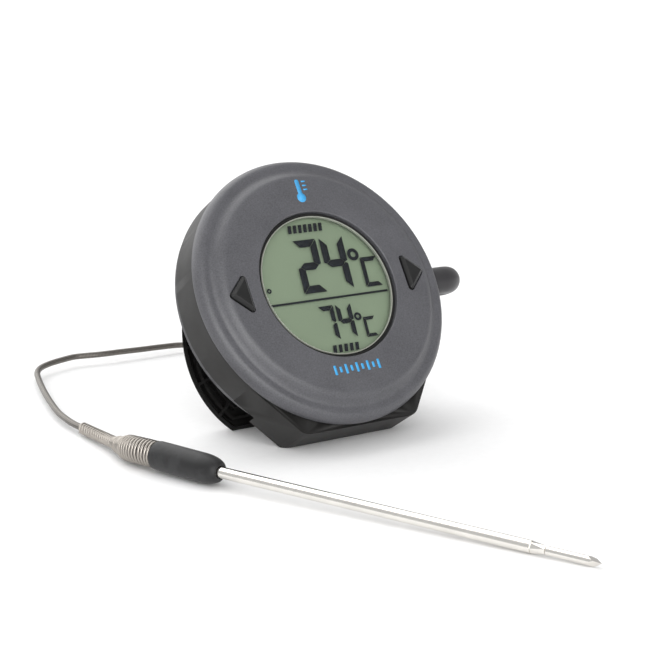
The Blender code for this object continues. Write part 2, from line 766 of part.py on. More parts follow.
def build_plug(shop):
    points = plug_path()
    radii = [4.0] + [4.2] * 9 + [4.2, 4.0, 3.6, 3.1, 2.6, 2.2]
    shop.add("plug_boot", tube(points, radii, 6), "boot_grey", points[0])
    profile = [
        (0.0, 8.0),
        (0.5, 8.0),
        (PIN_RADIUS, 6.9),
        (PIN_RADIUS, 0.0),
        (0.0, 0.0),
    ]
    pin = shop.add("plug_pin", turned("plug_pin", profile), "nickel")
    pin.location = Vector((PLUG_START - 0.3, 0.0, SOCKET_DEPTH)) * MM
    pin.rotation_euler = (0.0, -math.pi / 2, 0.0)
    screw(pin, 20)


def build_cable(shop, plug_end, plug_direction):
    """The free cable: from the plug to its coil, the coil's outer shape, and from the coil to the probe."""
    start = plug_end + plug_direction * 0.5
    leaving = plug_end + plug_direction * 3.0
    near = smooth_path([start, leaving, *NEAR_ROUTE], 2.2 * CABLE_RADIUS)
    shop.add("cable_plug_end", tube(near, [CABLE_RADIUS] * len(near)), "braid_steel")
    far = smooth_path(FAR_ROUTE, 3.2 * CABLE_RADIUS)
    shop.add("cable_probe_end", tube(far, [CABLE_RADIUS] * len(far)), "braid_steel")
    inner, outer = COIL_RADII
    profile = [(inner, COIL_HEIGHT), (outer, COIL_HEIGHT), (outer, 0.0), (inner, 0.0)]
    coil = shop.add("cable_coil", turned("cable_coil", profile, closed=True), "braid_steel")
    coil.location = Vector((*COIL_MIDDLE, 0.0)) * MM
    screw(coil, 40)


def build_probe(shop):
    spring = smooth_path(SPRING_ROUTE, 3.0)
    radii = [spring_radius(i / (len(spring) - 1)) for i in range(len(spring))]
    shop.add("strain_spring", tube(spring, radii, 4), "polished_steel")
    rear, front = Vector(SLEEVE_REAR), Vector(SLEEVE_FRONT)
    total = (front - rear).length
    stops = (0.0, 0.6, total - 5.5, total - 3.4, total - 1.8, total - 0.7, total)
    sizes = (0.95, 1.0, 1.0, 0.95, 0.84, 0.68, 0.5)
    body = tube([along(rear, front, s) for s in stops], [SLEEVE_RADIUS * size for size in sizes], 8)
    sleeve = shop.add("handle_sleeve", body, "sleeve_black")
    shaft_back = along(front, SHAFT_TIP, -SHAFT_INSERT)
    bore = rod(along(front, SHAFT_TIP, -SHAFT_INSERT - 0.5), along(front, SHAFT_TIP, 6.0), SHAFT_RADIUS + 0.3, sides=24)
    boolean(sleeve, shop.add("sleeve_bore", bore, None))
    build_needle(shop, shaft_back)


def build_needle(shop, back):
    """The steel shaft, swaged down in flats to a thinner tip, whose point is ground on three sides."""
    crimp, thin, point = (s + SHAFT_INSERT for s in TIP_LENGTHS)
    length = (Vector(SHAFT_TIP) - back).length
    shaft_profile = [(0.0, crimp), (SHAFT_RADIUS, crimp), (SHAFT_RADIUS, 0.0), (0.0, 0.0)]
    tip_profile = [(0.0, length + 1.0), (TIP_RADIUS, length + 1.0), (TIP_RADIUS, thin + 0.3), (0.0, thin + 0.3)]
    grind_start = thin - 0.5
    grind = TIP_RADIUS * (length - grind_start) / (length - point)
    swage = shop.add("swage", swaged_end(crimp - 0.5, thin), None)
    ground_point = shop.add("ground_point", rod((0, 0, grind_start), (0, 0, length), 2 * grind, 0.0, sides=3), None)
    shaft = shop.add("probe_shaft", turned("probe_shaft", shaft_profile), "polished_steel")
    tip = shop.add("probe_tip", turned("probe_tip", tip_profile), "polished_steel")
    for piece in (swage, ground_point, shaft, tip):
        piece.location = back * MM
        piece.rotation_euler = (Vector(SHAFT_TIP) - back).to_track_quat("Z", "Y").to_euler()
    boolean(screw(shaft, 48), swage, "UNION")
    boolean(screw(tip, 48), ground_point, "INTERSECT")


def swaged_end(thick_at, thin_at):
    """Six flats from the shaft's own width down to the tip's, as dies press them."""

    def build(bm):
        for radius, height, turn in ((SHAFT_RADIUS, thick_at, 0.0), (TIP_RADIUS + 0.05, thin_at, 0.5)):
            for i in range(SWAGE_FLATS):
                angle = 2 * math.pi * (i + turn) / SWAGE_FLATS
                bm.verts.new((radius * math.cos(angle), radius * math.sin(angle), height))
        bmesh.ops.convex_hull(bm, input=bm.verts)
        bmesh.ops.recalc_face_normals(bm, faces=bm.faces)

    return mesh_from(build)


def spring_radius(part):
    """The spring's outer radius, this part of the way from the cable to the sleeve."""
    place = part * (len(SPRING_RADII) - 1)
    low = min(int(place), len(SPRING_RADII) - 2)
    return SPRING_RADII[low] + (SPRING_RADII[low + 1] - SPRING_RADII[low]) * (place - low)


def main():
    clear_scene()
    shop = Workshop()
    ground = shop.add("ground", box((-120, -120, -60), (120, 120, 0)), None)
    up_face = Vector((0.0, math.sin(TILT), math.cos(TILT)))
    out_of_face = Vector((0.0, -math.cos(TILT), math.sin(TILT)))
    middle = up_face * FACE_TO_FOOT + out_of_face * LAND_DEPTH - Vector((0.0, LAND_WIDTH / 2, 0.0))
    frame = shop.set_frame("housing_frame", middle * MM, (math.pi / 2 - TILT, 0.0, 0.0))
    build_front_shell(shop)
    build_window(shop)
    build_board(shop)
    build_buttons(shop)
    build_rear_housing(shop, ground)
    build_rear_cover(shop)
    build_screws(shop)
    build_battery_bay(shop)
    build_battery_door(shop)
    build_switch(shop)
    build_socket(shop)
    build_stand(shop, ground)
    build_plug(shop)
    path = plug_path()
    ends = [frame.matrix_world @ (Vector(point) * MM) / MM for point in path[-2:]]
    shop.set_frame("table_frame", (0.0, 0.0, 0.0), (0.0, 0.0, 0.0))
    build_cable(shop, ends[1], (ends[1] - ends[0]).normalized())
    build_probe(shop)


main()
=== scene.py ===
"""The finished look of a round meat thermometer with its leave-in probe, built around its CAD frame.

Lengths are millimetres, and MM turns them into metres. The housing's pieces are drawn in the housing's own
frame: X to the right of someone reading the display, Y up the face and Z out of it, from the face's middle.
"""

import json
import math

import bmesh
import bpy
from bpy.props import FloatProperty, FloatVectorProperty, IntProperty, PointerProperty
from mathutils import Matrix, Vector


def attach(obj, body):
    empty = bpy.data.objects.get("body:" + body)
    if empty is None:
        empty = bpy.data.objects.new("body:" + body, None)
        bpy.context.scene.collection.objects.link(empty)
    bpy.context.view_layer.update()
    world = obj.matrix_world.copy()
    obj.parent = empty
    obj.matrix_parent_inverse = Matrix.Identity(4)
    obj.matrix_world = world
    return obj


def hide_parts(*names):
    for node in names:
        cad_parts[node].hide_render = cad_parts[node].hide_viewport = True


bl_info = {
    "name": "Meat Thermometer",
    "version": (1, 0, 0),
    "blender": (4, 5, 0),
    "location": "3D View > Sidebar > Thermometer",
    "description": "Builds the finished look of a leave-in meat thermometer around its CAD frame",
    "category": "Object",
}

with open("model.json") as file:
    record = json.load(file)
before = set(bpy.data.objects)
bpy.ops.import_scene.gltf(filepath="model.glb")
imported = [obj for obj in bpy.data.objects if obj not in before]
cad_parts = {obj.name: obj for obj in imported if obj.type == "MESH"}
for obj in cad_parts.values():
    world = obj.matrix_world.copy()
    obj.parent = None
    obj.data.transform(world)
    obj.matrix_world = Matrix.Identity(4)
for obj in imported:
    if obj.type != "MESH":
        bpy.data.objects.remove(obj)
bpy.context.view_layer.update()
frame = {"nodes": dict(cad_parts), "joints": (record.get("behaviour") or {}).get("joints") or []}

MM = 0.001
JOINTS = {joint["name"]: joint for joint in frame["joints"]}

# The housing's frame, from its joints.
OUT = -Vector(JOINTS["left_button_press"]["axis"])
RIGHT = Vector((1.0, 0.0, 0.0))
UP = OUT.cross(RIGHT)
HINGE = Vector((0.0, 33.5, -23.0))
LEAN = Matrix((RIGHT, UP, OUT)).transposed()
FACE = Vector(JOINTS["stand_hinge"]["pos_m"]) - LEAN @ HINGE * MM
HOUSING = Matrix.Translation(FACE) @ LEAN.to_4x4() @ Matrix.Scale(MM, 4)
STAND_OPEN = math.radians(-JOINTS["stand_hinge"]["range_deg"][0])
STAND = HOUSING @ Matrix.Translation(HINGE) @ Matrix.Rotation(STAND_OPEN, 4, "X") @ Matrix.Translation(-HINGE)
TABLE = Matrix.Scale(MM, 4)
ROUND = 192  # flats round a large turned piece

# Front shell and window.
SHELL_RADIUS, SHELL_EDGE, SHELL_WALL = 41.5, -6.2, 1.9
WINDOW_RADIUS, LENS_RADIUS = 22.9, 21.6

# Rear housing, foot and cover.
BAND_RADIUS, BAND_WALL = 41.2, 2.0
BAND_FRONT, BAND_REAR = -6.5, -17.7
FACE_TO_FOOT = 41.8
FOOT_FRONT, FOOT_REAR = -7.0, -20.75
FOOT_HALF_WIDTH, FOOT_CORNER, HEEL_TOP = 19.6, 4.5, 31.5
COVER_RADIUS, COVER_FLAT, COVER_CHORD = 40.7, 39.0, 38.6
COVER_INSIDE, COVER_BACK = -19.2, -21.0
TRAY_MIDDLE = -4.0
DOOR_HALF = (28.2, 13.0)
DOOR_FRONT = -19.6
POST_END = -18.9
SCREW_PLACES = ((20.0, 30.0), (-20.0, 30.0), (28.5, -22.0), (-28.5, -22.0))

# Buttons and switch.
BUTTON_TIP, BUTTON_BASE, BUTTON_HALF_HEIGHT = 34.0, 27.4, 6.2
BUTTON_CORNER, BUTTON_PROUD = 0.7, 1.1
BUTTON_CAP = ((0.0, -2.6), (0.0, 0.05), (-0.08, 0.3), (-0.75, BUTTON_PROUD - 0.14), (-0.95, BUTTON_PROUD))
BUTTON_HOLE = ((0.3, -6.0), (0.3, -0.3), (0.38, -0.1), (0.55, 0.02), (0.7, 1.0))
SWITCH_AT = (5.0, 14.0)
SWITCH_TRAVEL = 3.0

# Stand.
STAND_MIDDLE, STAND_CHORD = -4.4, 31.1
STAND_EDGE = (
    (31.2, -25.0),
    (31.9, -24.9),
    (32.9, -24.2),
    (33.6, -23.0),
    (34.2, -22.0),
    (34.5, -21.5),
    (34.4, -21.4),
)  # radius and depth
POCKET_EDGE = ((31.9, -23.8), (34.0, -20.0))
POCKET_CHORD = 29.9
OUTER_RIB = ((31.6, 27.7), (30.7, 26.9))  # radius and chord of each side
INNER_RIB = ((28.6, 24.8), (28.0, 24.2))
RIB_BARS = 9
MAGNET_SIDE = 13.0

# Plug.
SOCKET_DEPTH = -12.0
PLUG_START, PLUG_BEND_FROM, PLUG_BEND = 41.8, 48.8, 5.0
PLUG_ARM_END, PLUG_ARM_DROP = -34.0, 1.2
PLUG_HANG = math.radians(12)  # the arm's turn about the socket

# Cable, in world millimetres.
LYING = 1.02
NEAR_ROUTE = (
    (53.6, 35.6, 16.2),
    (53.4, 40.4, 11.2),
    (53.6, 46.2, 7.0),
    (54.6, 53.2, 3.8),
    (56.4, 61.0, 1.9),
    (58.6, 69.5, 1.15),
    (60.6, 78.5, LYING),
    (61.6, 88.0, LYING),
)
FAR_ROUTE = (
    (56.3, 100.6, LYING),
    (49.6, 107.4, LYING),
    (41.5, 114.0, 1.2),
    (32.4, 119.4, 1.7),
    (18.2, 124.0, 2.6),
    (10.4, 124.5, 2.9),
    (2.1, 124.4, 3.1),
    (-6.0, 124.6, 3.3),
    (-13.9, 124.9, 3.4),
    (-19.5, 126.2, 3.4),
    (-23.4, 126.7, 3.4),
    (-28.5, 125.1, 3.4),
    (-34.2, 122.9, 3.3),
    (-39.2, 119.5, 3.2),
    (-42.9, 114.4, 3.1),
    (-46.0, 107.1, 3.0),
    (-50.7, 94.0, 2.8),
    (-55.4, 79.2, 2.6),
    (-59.0, 66.1, 2.45),
    (-60.6, 56.5, 2.35),
    (-61.0, 50.7, 2.3),
    (-60.8, 46.5, 2.28),
)
COIL_MIDDLE = (44.0, 88.0)
COIL_OUTER, COIL_INNER = 15.0, 9.0
COIL_LAYERS, LAYER_TURNS, LAYER_STEP = 4, 3, 2.04
COIL_EDGE = 17.6  # where both free ends pass the coil

# Probe, in world millimetres.
SLEEVE_REAR, SLEEVE_FRONT = Vector((-60.96, 0.44, 4.84)), Vector((-54.3, -22.2, 4.25))
SLEEVE_RADIUS = 4.1
SPRING_ROUTE = (
    (-60.9, 46.2, 2.3),
    (-61.2, 40.0, 2.5),
    (-61.7, 30.0, 2.9),
    (-62.4, 22.0, 3.4),
    (-63.0, 15.0, 4.1),
    (-62.9, 9.4, 4.65),
    (-62.45, 5.9, 4.87),
    (-61.81, 3.32, 4.91),
    (-61.09, 0.9, 4.86),
)
SPRING_RADII = (1.85, 1.85, 1.85, 1.85, 1.9, 2.75, 3.85, 3.9, 3.9)
SHAFT_TIP = Vector((-14.8, -128.0, 1.25))

# Camera.
CAMERA_AT = Vector((-0.29128, -0.41924, 0.14414))
CAMERA_AZIMUTH, CAMERA_DROP, CAMERA_ROLL = 34.25, 12.11, -0.389
CAMERA_LENS, SENSOR = 100.19, 36.0

# Light.
SKY_BRIGHTEST = (-0.35, 0.45, 0.82)
SKY_DIM = 0.7
LAMPS = (
    ("key", (-0.5, -0.72, 0.48), 0.55, 45),
    ("front", (-0.35, -0.92, 0.15), 2.6, 70),
    ("back", (-0.12, 0.72, 0.68), 2.0, 75),
)  # name, where it shines from, strength, width in degrees


def linear(code):
    """An sRGB hex colour as linear red, green and blue."""
    parts = [int(code[i : i + 2], 16) / 255 for i in (0, 2, 4)]
    return tuple(c / 12.92 if c <= 0.04045 else ((c + 0.055) / 1.055) ** 2.4 for c in parts)


def colour_setting(name, description, code):
    return FloatVectorProperty(
        name=name, description=description, subtype="COLOR", size=3, min=0.0, max=1.0, default=linear(code)
    )


def size_setting(name, description, default):
    """A size in millimetres."""
    return FloatProperty(name=name, description=description, default=default, min=0.01, unit="NONE")


class ThermometerSizes(bpy.types.PropertyGroup):
    """Sizes in millimetres that a user would change."""

    cable_diameter: size_setting("Cable diameter", "Across the braided cable, in mm", 2.0)
    wire_diameter: size_setting("Spring wire", "Across the strain spring's wire, in mm", 0.9)
    spring_turns: IntProperty(
        name="Spring turns", description="Turns of the strain spring", default=34, min=8
    )
    braid_pitch: size_setting("Braid pitch", "One strand's full turn along the cable, in mm", 6.0)
    shell_grain: size_setting("Shell grain", "Width of the front shell's moulded grain, in mm", 0.42)
    edge_radius: size_setting("Edge radius", "Rounding of the moulded edges, in mm", 0.3)


class ThermometerColours(bpy.types.PropertyGroup):
    """The finishes' own colours."""

    shell: colour_setting("Shell", "Front shell's grey ABS", "4E4E52")
    band: colour_setting("Band", "Rear housing's charcoal soft-touch coat", "1A1918")
    cover: colour_setting("Cover", "Rear cover's grey ABS", "444447")
    stand: colour_setting("Stand", "Stand's black glass-filled nylon", "141312")
    button: colour_setting("Buttons", "Buttons' black silicone rubber", "131313")
    boot: colour_setting("Plug boot", "Plug's grey overmould", "313032")
    sleeve: colour_setting("Sleeve", "Probe's black silicone sleeve", "232324")
    film: colour_setting("Display film", "Display's grey-green reflector", "7C8872")
    segment: colour_setting("Segments", "Display's dark segments", "0B1119")
    mark: colour_setting("Marks", "Blue printed marks on the shell", "3D9FD8")


class ThermometerStage(bpy.types.PropertyGroup):
    """The studio."""

    floor_side: FloatProperty(
        name="Floor side", description="Side of the floor sheet", default=14.0, unit="LENGTH"
    )
    sky_strength: FloatProperty(
        name="Sky strength", description="Strength of the soft surround light", default=0.66
    )
    key_strength: FloatProperty(name="Key strength", description="Strength of the lamps", default=1.0)


# --- Shapes ---


def mesh_from(build):
    """A mesh filled in by build(bm), with its faces turned outwards."""
    bm = bmesh.new()
    build(bm)
    bmesh.ops.recalc_face_normals(bm, faces=bm.faces)
    mesh = bpy.data.meshes.new("shape")
    bm.to_mesh(mesh)
    bm.free()
    mesh.shade_smooth()
    return mesh


def turned(profile, steps=ROUND, closed=False):
    """A body turned about Z from a profile of (radius, height)."""

    def build(bm):
        points = [bm.verts.new((radius, 0.0, height)) for radius, height in profile]
        edges = [bm.edges.new(pair) for pair in zip(points, points[1:])]
        if closed:
            edges.append(bm.edges.new((points[-1], points[0])))
        bmesh.ops.spin(
            bm, geom=points + edges, axis=(0, 0, 1), angle=2 * math.pi, steps=steps, use_merge=True
        )
        bmesh.ops.remove_doubles(bm, verts=bm.verts, dist=0.0005)

    return mesh_from(build)


def loft(rings, endless=False):
    """A body through rings of as many points each, with flat ends, or going back to its first ring."""

    def build(bm):
        loops = [[bm.verts.new(point) for point in ring] for ring in rings]
        for below, above in zip(loops, loops[1:] + loops[:endless]):
            for i in range(len(below)):
                j = (i + 1) % len(below)
                bm.faces.new((below[i], below[j], above[j], above[i]))
        for end in () if endless else (loops[0], loops[-1]):
            bm.faces.new(end)

    return mesh_from(build)


def plate(outline, low, high):
    """A flat plate between two heights."""
    return loft([[(x, y, z) for x, y in outline] for z in (low, high)])


def rectangle(left, low, right, high):
    return [(left, low), (right, low), (right, high), (left, high)]


def box(low, high):
    size, middle = Vector(high) - Vector(low), (Vector(high) + Vector(low)) / 2
    place = Matrix.Translation(middle) @ Matrix.Diagonal((*size, 1.0))
    return mesh_from(lambda bm: bmesh.ops.create_cube(bm, size=1.0, matrix=place))


def rod(start, end, radius, end_radius=None, sides=48):
    start, end = Vector(start), Vector(end)
    place = Matrix.Translation((start + end) / 2) @ (end - start).to_track_quat("Z", "Y").to_matrix().to_4x4()
    sizes = {"radius1": radius, "radius2": radius if end_radius is None else end_radius}
    depth = (end - start).length
    return mesh_from(
        lambda bm: bmesh.ops.create_cone(
            bm, cap_ends=True, segments=sides, depth=depth, matrix=place, **sizes
        )
    )


def arc(middle, radius, start, end, steps):
    """Points along an arc, angles in degrees."""
    angles = [math.radians(start + (end - start) * i / steps) for i in range(steps + 1)]
    return [(middle[0] + radius * math.cos(a), middle[1] + radius * math.sin(a)) for a in angles]


def flat_disc(radius, chord, middle=0.0, steps=160):
    """A disc with a straight lower edge at y = -chord."""
    half = math.degrees(math.acos((chord + middle) / radius))
    return arc((0.0, middle), radius, -90 + half, 270 - half, steps)


def rounded_corners(corners, radii, steps=8):
    """A polygon, listed anticlockwise, with each corner rounded. A corner of radius 0 stays sharp."""
    points = []
    for i, (corner, radius) in enumerate(zip(corners, radii)):
        if not radius:
            points.append(corner)
            continue
        here = Vector(corner)
        before = (Vector(corners[i - 1]) - here).normalized()
        after = (Vector(corners[(i + 1) % len(corners)]) - here).normalized()
        half = before.angle(after) / 2
        middle = here + (before + after).normalized() * radius / math.sin(half)
        first = here + before * radius / math.tan(half) - middle
        sweep = math.pi - 2 * half
        for step in range(steps + 1):
            points.append(tuple(middle + Matrix.Rotation(sweep * step / steps, 2) @ first))
    return points


def curved(route, steps=24):
    """Points on a smooth curve through the route's own points, of any number of coordinates."""
    route = [Vector(point) for point in route]
    ends = [2 * route[0] - route[1]] + route + [2 * route[-1] - route[-2]]
    fine = []
    for a, b, c, d in zip(ends, ends[1:], ends[2:], ends[3:]):
        for step in range(steps):
            t = step / steps
            fine.append(
                0.5 * (
                    2 * b + (c - a) * t + (2 * a - 5 * b + 4 * c - d) * t**2 + (3 * b - a - 3 * c + d) * t**3
                )
            )
    return fine + [route[-1]]


def spaced(fine, spacing):
    """Evenly spaced points along a line of points."""
    lengths = [0.0]
    for before, after in zip(fine, fine[1:]):
        lengths.append(lengths[-1] + (after - before).length)
    count = max(2, round(lengths[-1] / spacing))
    points, at = [], 0
    for i in range(count + 1):
        want = lengths[-1] * i / count
        while at < len(lengths) - 2 and lengths[at + 1] < want:
            at += 1
        part = (want - lengths[at]) / max(lengths[at + 1] - lengths[at], 1e-9)
        points.append(fine[at].lerp(fine[at + 1], min(1.0, part)))
    return points


def along_line(points):
    """For each point of a line: its direction and two sideways directions that don't twist round it."""
    places = []
    side = None
    for i, point in enumerate(points):
        ahead = (points[min(i + 1, len(points) - 1)] - points[max(i - 1, 0)]).normalized()
        side = ahead.orthogonal() if side is None else side
        side = (side - ahead * side.dot(ahead)).normalized()
        places.append((point, ahead, side, ahead.cross(side)))
    return places


def swept(points, radii, sides=16, turns_per_mm=0.0):
    """A round tube along points. Its UV map is millimetres along and turns round, which may wind about it."""

    def build(bm):
        rings, run = [], [0.0]
        for before, after in zip(points, points[1:]):
            run.append(run[-1] + (after - before).length)
        for (point, _, side, up), radius in zip(along_line(points), radii):
            ring = []
            for k in range(sides):
                angle = 2 * math.pi * k / sides
                ring.append(bm.verts.new(point + radius * (side * math.cos(angle) + up * math.sin(angle))))
            rings.append(ring)
        uv = bm.loops.layers.uv.new("Run")
        for i, (here, there) in enumerate(zip(rings, rings[1:])):
            for k in range(sides):
                j = (k + 1) % sides
                face = bm.faces.new((here[k], here[j], there[j], there[k]))
                spots = ((i, k), (i, k + 1), (i + 1, k + 1), (i + 1, k))
                for corner, (at, turn) in zip(face.loops, spots):
                    corner[uv].uv = (run[at], turn / sides + run[at] * turns_per_mm)
        bm.faces.new(rings[0])
        bm.faces.new(rings[-1])

    return mesh_from(build)


def evaluated(mesh, add_modifiers, *tools):
    """The mesh as its modifiers leave it. The tools are objects that the modifiers use, and go afterwards."""
    holder = bpy.data.objects.new("holder", mesh)
    bpy.context.scene.collection.objects.link(holder)
    add_modifiers(holder)
    bpy.context.view_layer.update()
    result = bpy.data.meshes.new_from_object(holder.evaluated_get(bpy.context.evaluated_depsgraph_get()))
    for used in (holder, *tools):
        bpy.data.objects.remove(used, do_unlink=True)
    return result


def carved(mesh, steps, rounding=0.0, angle=35.0, segments=3):
    """The mesh after Booleans with other meshes, in order, with its sharp edges rounded."""
    tools = []
    for _, other in steps:
        tool = bpy.data.objects.new("tool", other)
        bpy.context.scene.collection.objects.link(tool)
        tools.append(tool)

    def modifiers(holder):
        for (operation, _), tool in zip(steps, tools):
            cut = holder.modifiers.new(operation, "BOOLEAN")
            cut.operation = operation
            cut.object = tool
        if rounding:
            bevel = holder.modifiers.new("Bevel", "BEVEL")
            bevel.width = rounding
            bevel.segments = segments
            bevel.limit_method = "ANGLE"
            bevel.angle_limit = math.radians(angle)

    return shaded(evaluated(mesh, modifiers, *tools), angle)


def cut(*meshes):
    """Steps for carved that take these meshes away."""
    return [("DIFFERENCE", mesh) for mesh in meshes]


def grown(*meshes):
    """Steps for carved that add these meshes."""
    return [("UNION", mesh) for mesh in meshes]


def shaded(mesh, angle=35.0):
    """Smooth shading that keeps sharp edges sharp and flat faces flat."""
    mesh.shade_smooth()
    mesh.set_sharp_from_angle(angle=math.radians(angle))

    def weigh(holder):
        normals = holder.modifiers.new("Normals", "WEIGHTED_NORMAL")
        normals.keep_sharp = True

    return evaluated(mesh, weigh)


def joined(meshes):
    """Separate meshes as one."""

    def build(bm):
        for mesh in meshes:
            bm.from_mesh(mesh)

    return mesh_from(build)


def piece(name, mesh, place, body, slot, finish, *replaced):
    """A shown piece of the object, from a mesh in the millimetres of place's frame."""
    mesh.transform(place)
    mesh.materials.clear()
    mesh.materials.append(finish)
    made = bpy.data.objects.new(name, mesh)
    bpy.context.scene.collection.objects.link(made)
    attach(made, body)
    if replaced:
        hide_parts(*replaced)
    return made


def refinish(finish, *nodes):
    """CAD nodes whose shape is right get their finish here."""
    for node in nodes:
        mesh = frame["nodes"][node].data
        mesh.materials.clear()
        mesh.materials.append(finish)


# --- Finishes ---


def add(tree, kind, feeds=None, **settings):
    """Adds a node with its own settings. feeds gives its inputs a socket or a plain value each."""
    made = tree.nodes.new(kind)
    for name, value in settings.items():
        setattr(made, name, value)
    for name, source in (feeds or {}).items():
        if isinstance(source, bpy.types.NodeSocket):
            tree.links.new(source, made.inputs[name])
        else:
            made.inputs[name].default_value = source
    return made


def new_finish(name, roughness, metallic=0.0, ior=1.5):
    """A material, its node tree and its main shader."""
    made = bpy.data.materials.new(name)
    made.use_nodes = True
    shader = made.node_tree.nodes["Principled BSDF"]
    shader.inputs["Roughness"].default_value = roughness
    shader.inputs["Metallic"].default_value = metallic
    if not metallic:
        shader.inputs["IOR"].default_value = ior
    return made, made.node_tree, shader


def per_metre(width):
    """A noise texture's scale for grain this many millimetres wide."""
    return 1.0 / (width * MM)


def tinted(tree, shader, pattern, colour, swing, low=0.3, high=0.7):
    """The colour, lighter and darker by this share where the pattern is high and low."""
    dark = tuple(max(0.0, c * (1 - swing)) for c in colour)
    light = tuple(min(1.0, c * (1 + swing)) for c in colour)
    ramp = add(tree, "ShaderNodeValToRGB", {"Fac": pattern})
    ramp.color_ramp.elements[0].position = low
    ramp.color_ramp.elements[0].color = (*dark, 1.0)
    ramp.color_ramp.elements[1].position = high
    ramp.color_ramp.elements[1].color = (*light, 1.0)
    tree.links.new(ramp.outputs["Color"], shader.inputs["Base Color"])


def roughened(tree, shader, pattern, low, high):
    spread = add(tree, "ShaderNodeMapRange", {"Value": pattern, "From Min": 0.3, "From Max": 0.7})
    spread.inputs["To Min"].default_value = low
    spread.inputs["To Max"].default_value = high
    tree.links.new(spread.outputs["Result"], shader.inputs["Roughness"])


def bumped(tree, shader, pattern, height):
    """Relief of this many millimetres from the pattern."""
    bump = add(tree, "ShaderNodeBump", {"Height": pattern, "Strength": 1.0, "Distance": height * MM})
    tree.links.new(bump.outputs["Normal"], shader.inputs["Normal"])


def moulded_abs(name, colour, roughness, grain, relief, mottle=0.05):
    """ABS from a spark-eroded mould: a satin skin whose even grain breaks up its highlights.

    The grain is drawn coarser than the real one, so that it shows.
    """
    made, tree, shader = new_finish(name, roughness, ior=1.53)
    place = add(tree, "ShaderNodeTexCoord").outputs["Object"]
    fine = add(tree, "ShaderNodeTexNoise", {"Vector": place, "Scale": per_metre(grain), "Detail": 2.0})
    broad = add(tree, "ShaderNodeTexNoise", {"Vector": place, "Scale": per_metre(9.0), "Detail": 3.0})
    mixed = add(tree, "ShaderNodeMath", {0: fine.outputs["Fac"], 1: 0.75}, operation="MULTIPLY")
    mixed = add(
        tree,
        "ShaderNodeMath",
        {0: broad.outputs["Fac"], 1: 0.25, 2: mixed.outputs[0]},
        operation="MULTIPLY_ADD",
    )
    tinted(tree, shader, mixed.outputs[0], colour, mottle)
    roughened(tree, shader, broad.outputs["Fac"], roughness - 0.04, roughness + 0.05)
    bumped(tree, shader, fine.outputs["Fac"], relief)
    return made


def glass_filled_nylon(name, colour):
    """Black glass-filled nylon, moulded: a deep dull black with a faint grain of fibres."""
    made, tree, shader = new_finish(name, 0.5, ior=1.5)
    place = add(tree, "ShaderNodeTexCoord").outputs["Object"]
    flow = add(tree, "ShaderNodeTexNoise", {"Vector": place, "Scale": per_metre(3.0), "Detail": 4.0})
    fine = add(tree, "ShaderNodeTexNoise", {"Vector": place, "Scale": per_metre(0.3), "Detail": 2.0})
    tinted(tree, shader, flow.outputs["Fac"], colour, 0.18)
    roughened(tree, shader, flow.outputs["Fac"], 0.46, 0.58)
    bumped(tree, shader, fine.outputs["Fac"], 0.02)
    return made


def silicone_rubber(name, colour, roughness=0.5, mottle=0.16, patch=4.0):
    """Moulded silicone rubber: matt, a little dusty, with soft lighter patches of painted sheen."""
    made, tree, shader = new_finish(name, roughness, ior=1.41)
    place = add(tree, "ShaderNodeTexCoord").outputs["Object"]
    painted_sheen_patches = add(
        tree,
        "ShaderNodeTexNoise",
        {"Vector": place, "Scale": per_metre(patch), "Detail": 4.0, "Roughness": 0.55},
    )
    fine = add(tree, "ShaderNodeTexNoise", {"Vector": place, "Scale": per_metre(0.22), "Detail": 3.0})
    # Painted sheen: soft lighter and darker patches in the rubber's colour.
    tinted(tree, shader, painted_sheen_patches.outputs["Fac"], colour, mottle, 0.42, 0.6)
    roughened(tree, shader, painted_sheen_patches.outputs["Fac"], roughness - 0.06, roughness + 0.08)
    bumped(tree, shader, fine.outputs["Fac"], 0.014)
    shader.inputs["Sheen Weight"].default_value = 0.12
    shader.inputs["Sheen Roughness"].default_value = 0.4
    return made


def drawn_stainless(name, axis=None, colour=linear("C9C6C1"), roughness=0.2):
    """Drawn and polished stainless steel: bright, its highlights softened by hairlines that lie round it."""
    made, tree, shader = new_finish(name, roughness, metallic=1.0)
    place = add(tree, "ShaderNodeTexCoord").outputs["Object"]
    if axis is not None:
        run = add(
            tree, "ShaderNodeVectorMath", {0: place, 1: tuple(axis)}, operation="DOT_PRODUCT"
        ).outputs["Value"]
        place = add(tree, "ShaderNodeCombineXYZ", {"X": run}).outputs["Vector"]
    lines = add(tree, "ShaderNodeTexNoise", {"Vector": place, "Scale": per_metre(0.12), "Detail": 3.0})
    cloud = add(tree, "ShaderNodeTexNoise", {"Vector": place, "Scale": per_metre(7.0), "Detail": 2.0})
    tinted(tree, shader, cloud.outputs["Fac"], colour, 0.05)
    roughened(tree, shader, lines.outputs["Fac"], roughness - 0.06, roughness + 0.07)
    bumped(tree, shader, lines.outputs["Fac"], 0.0015)
    return made


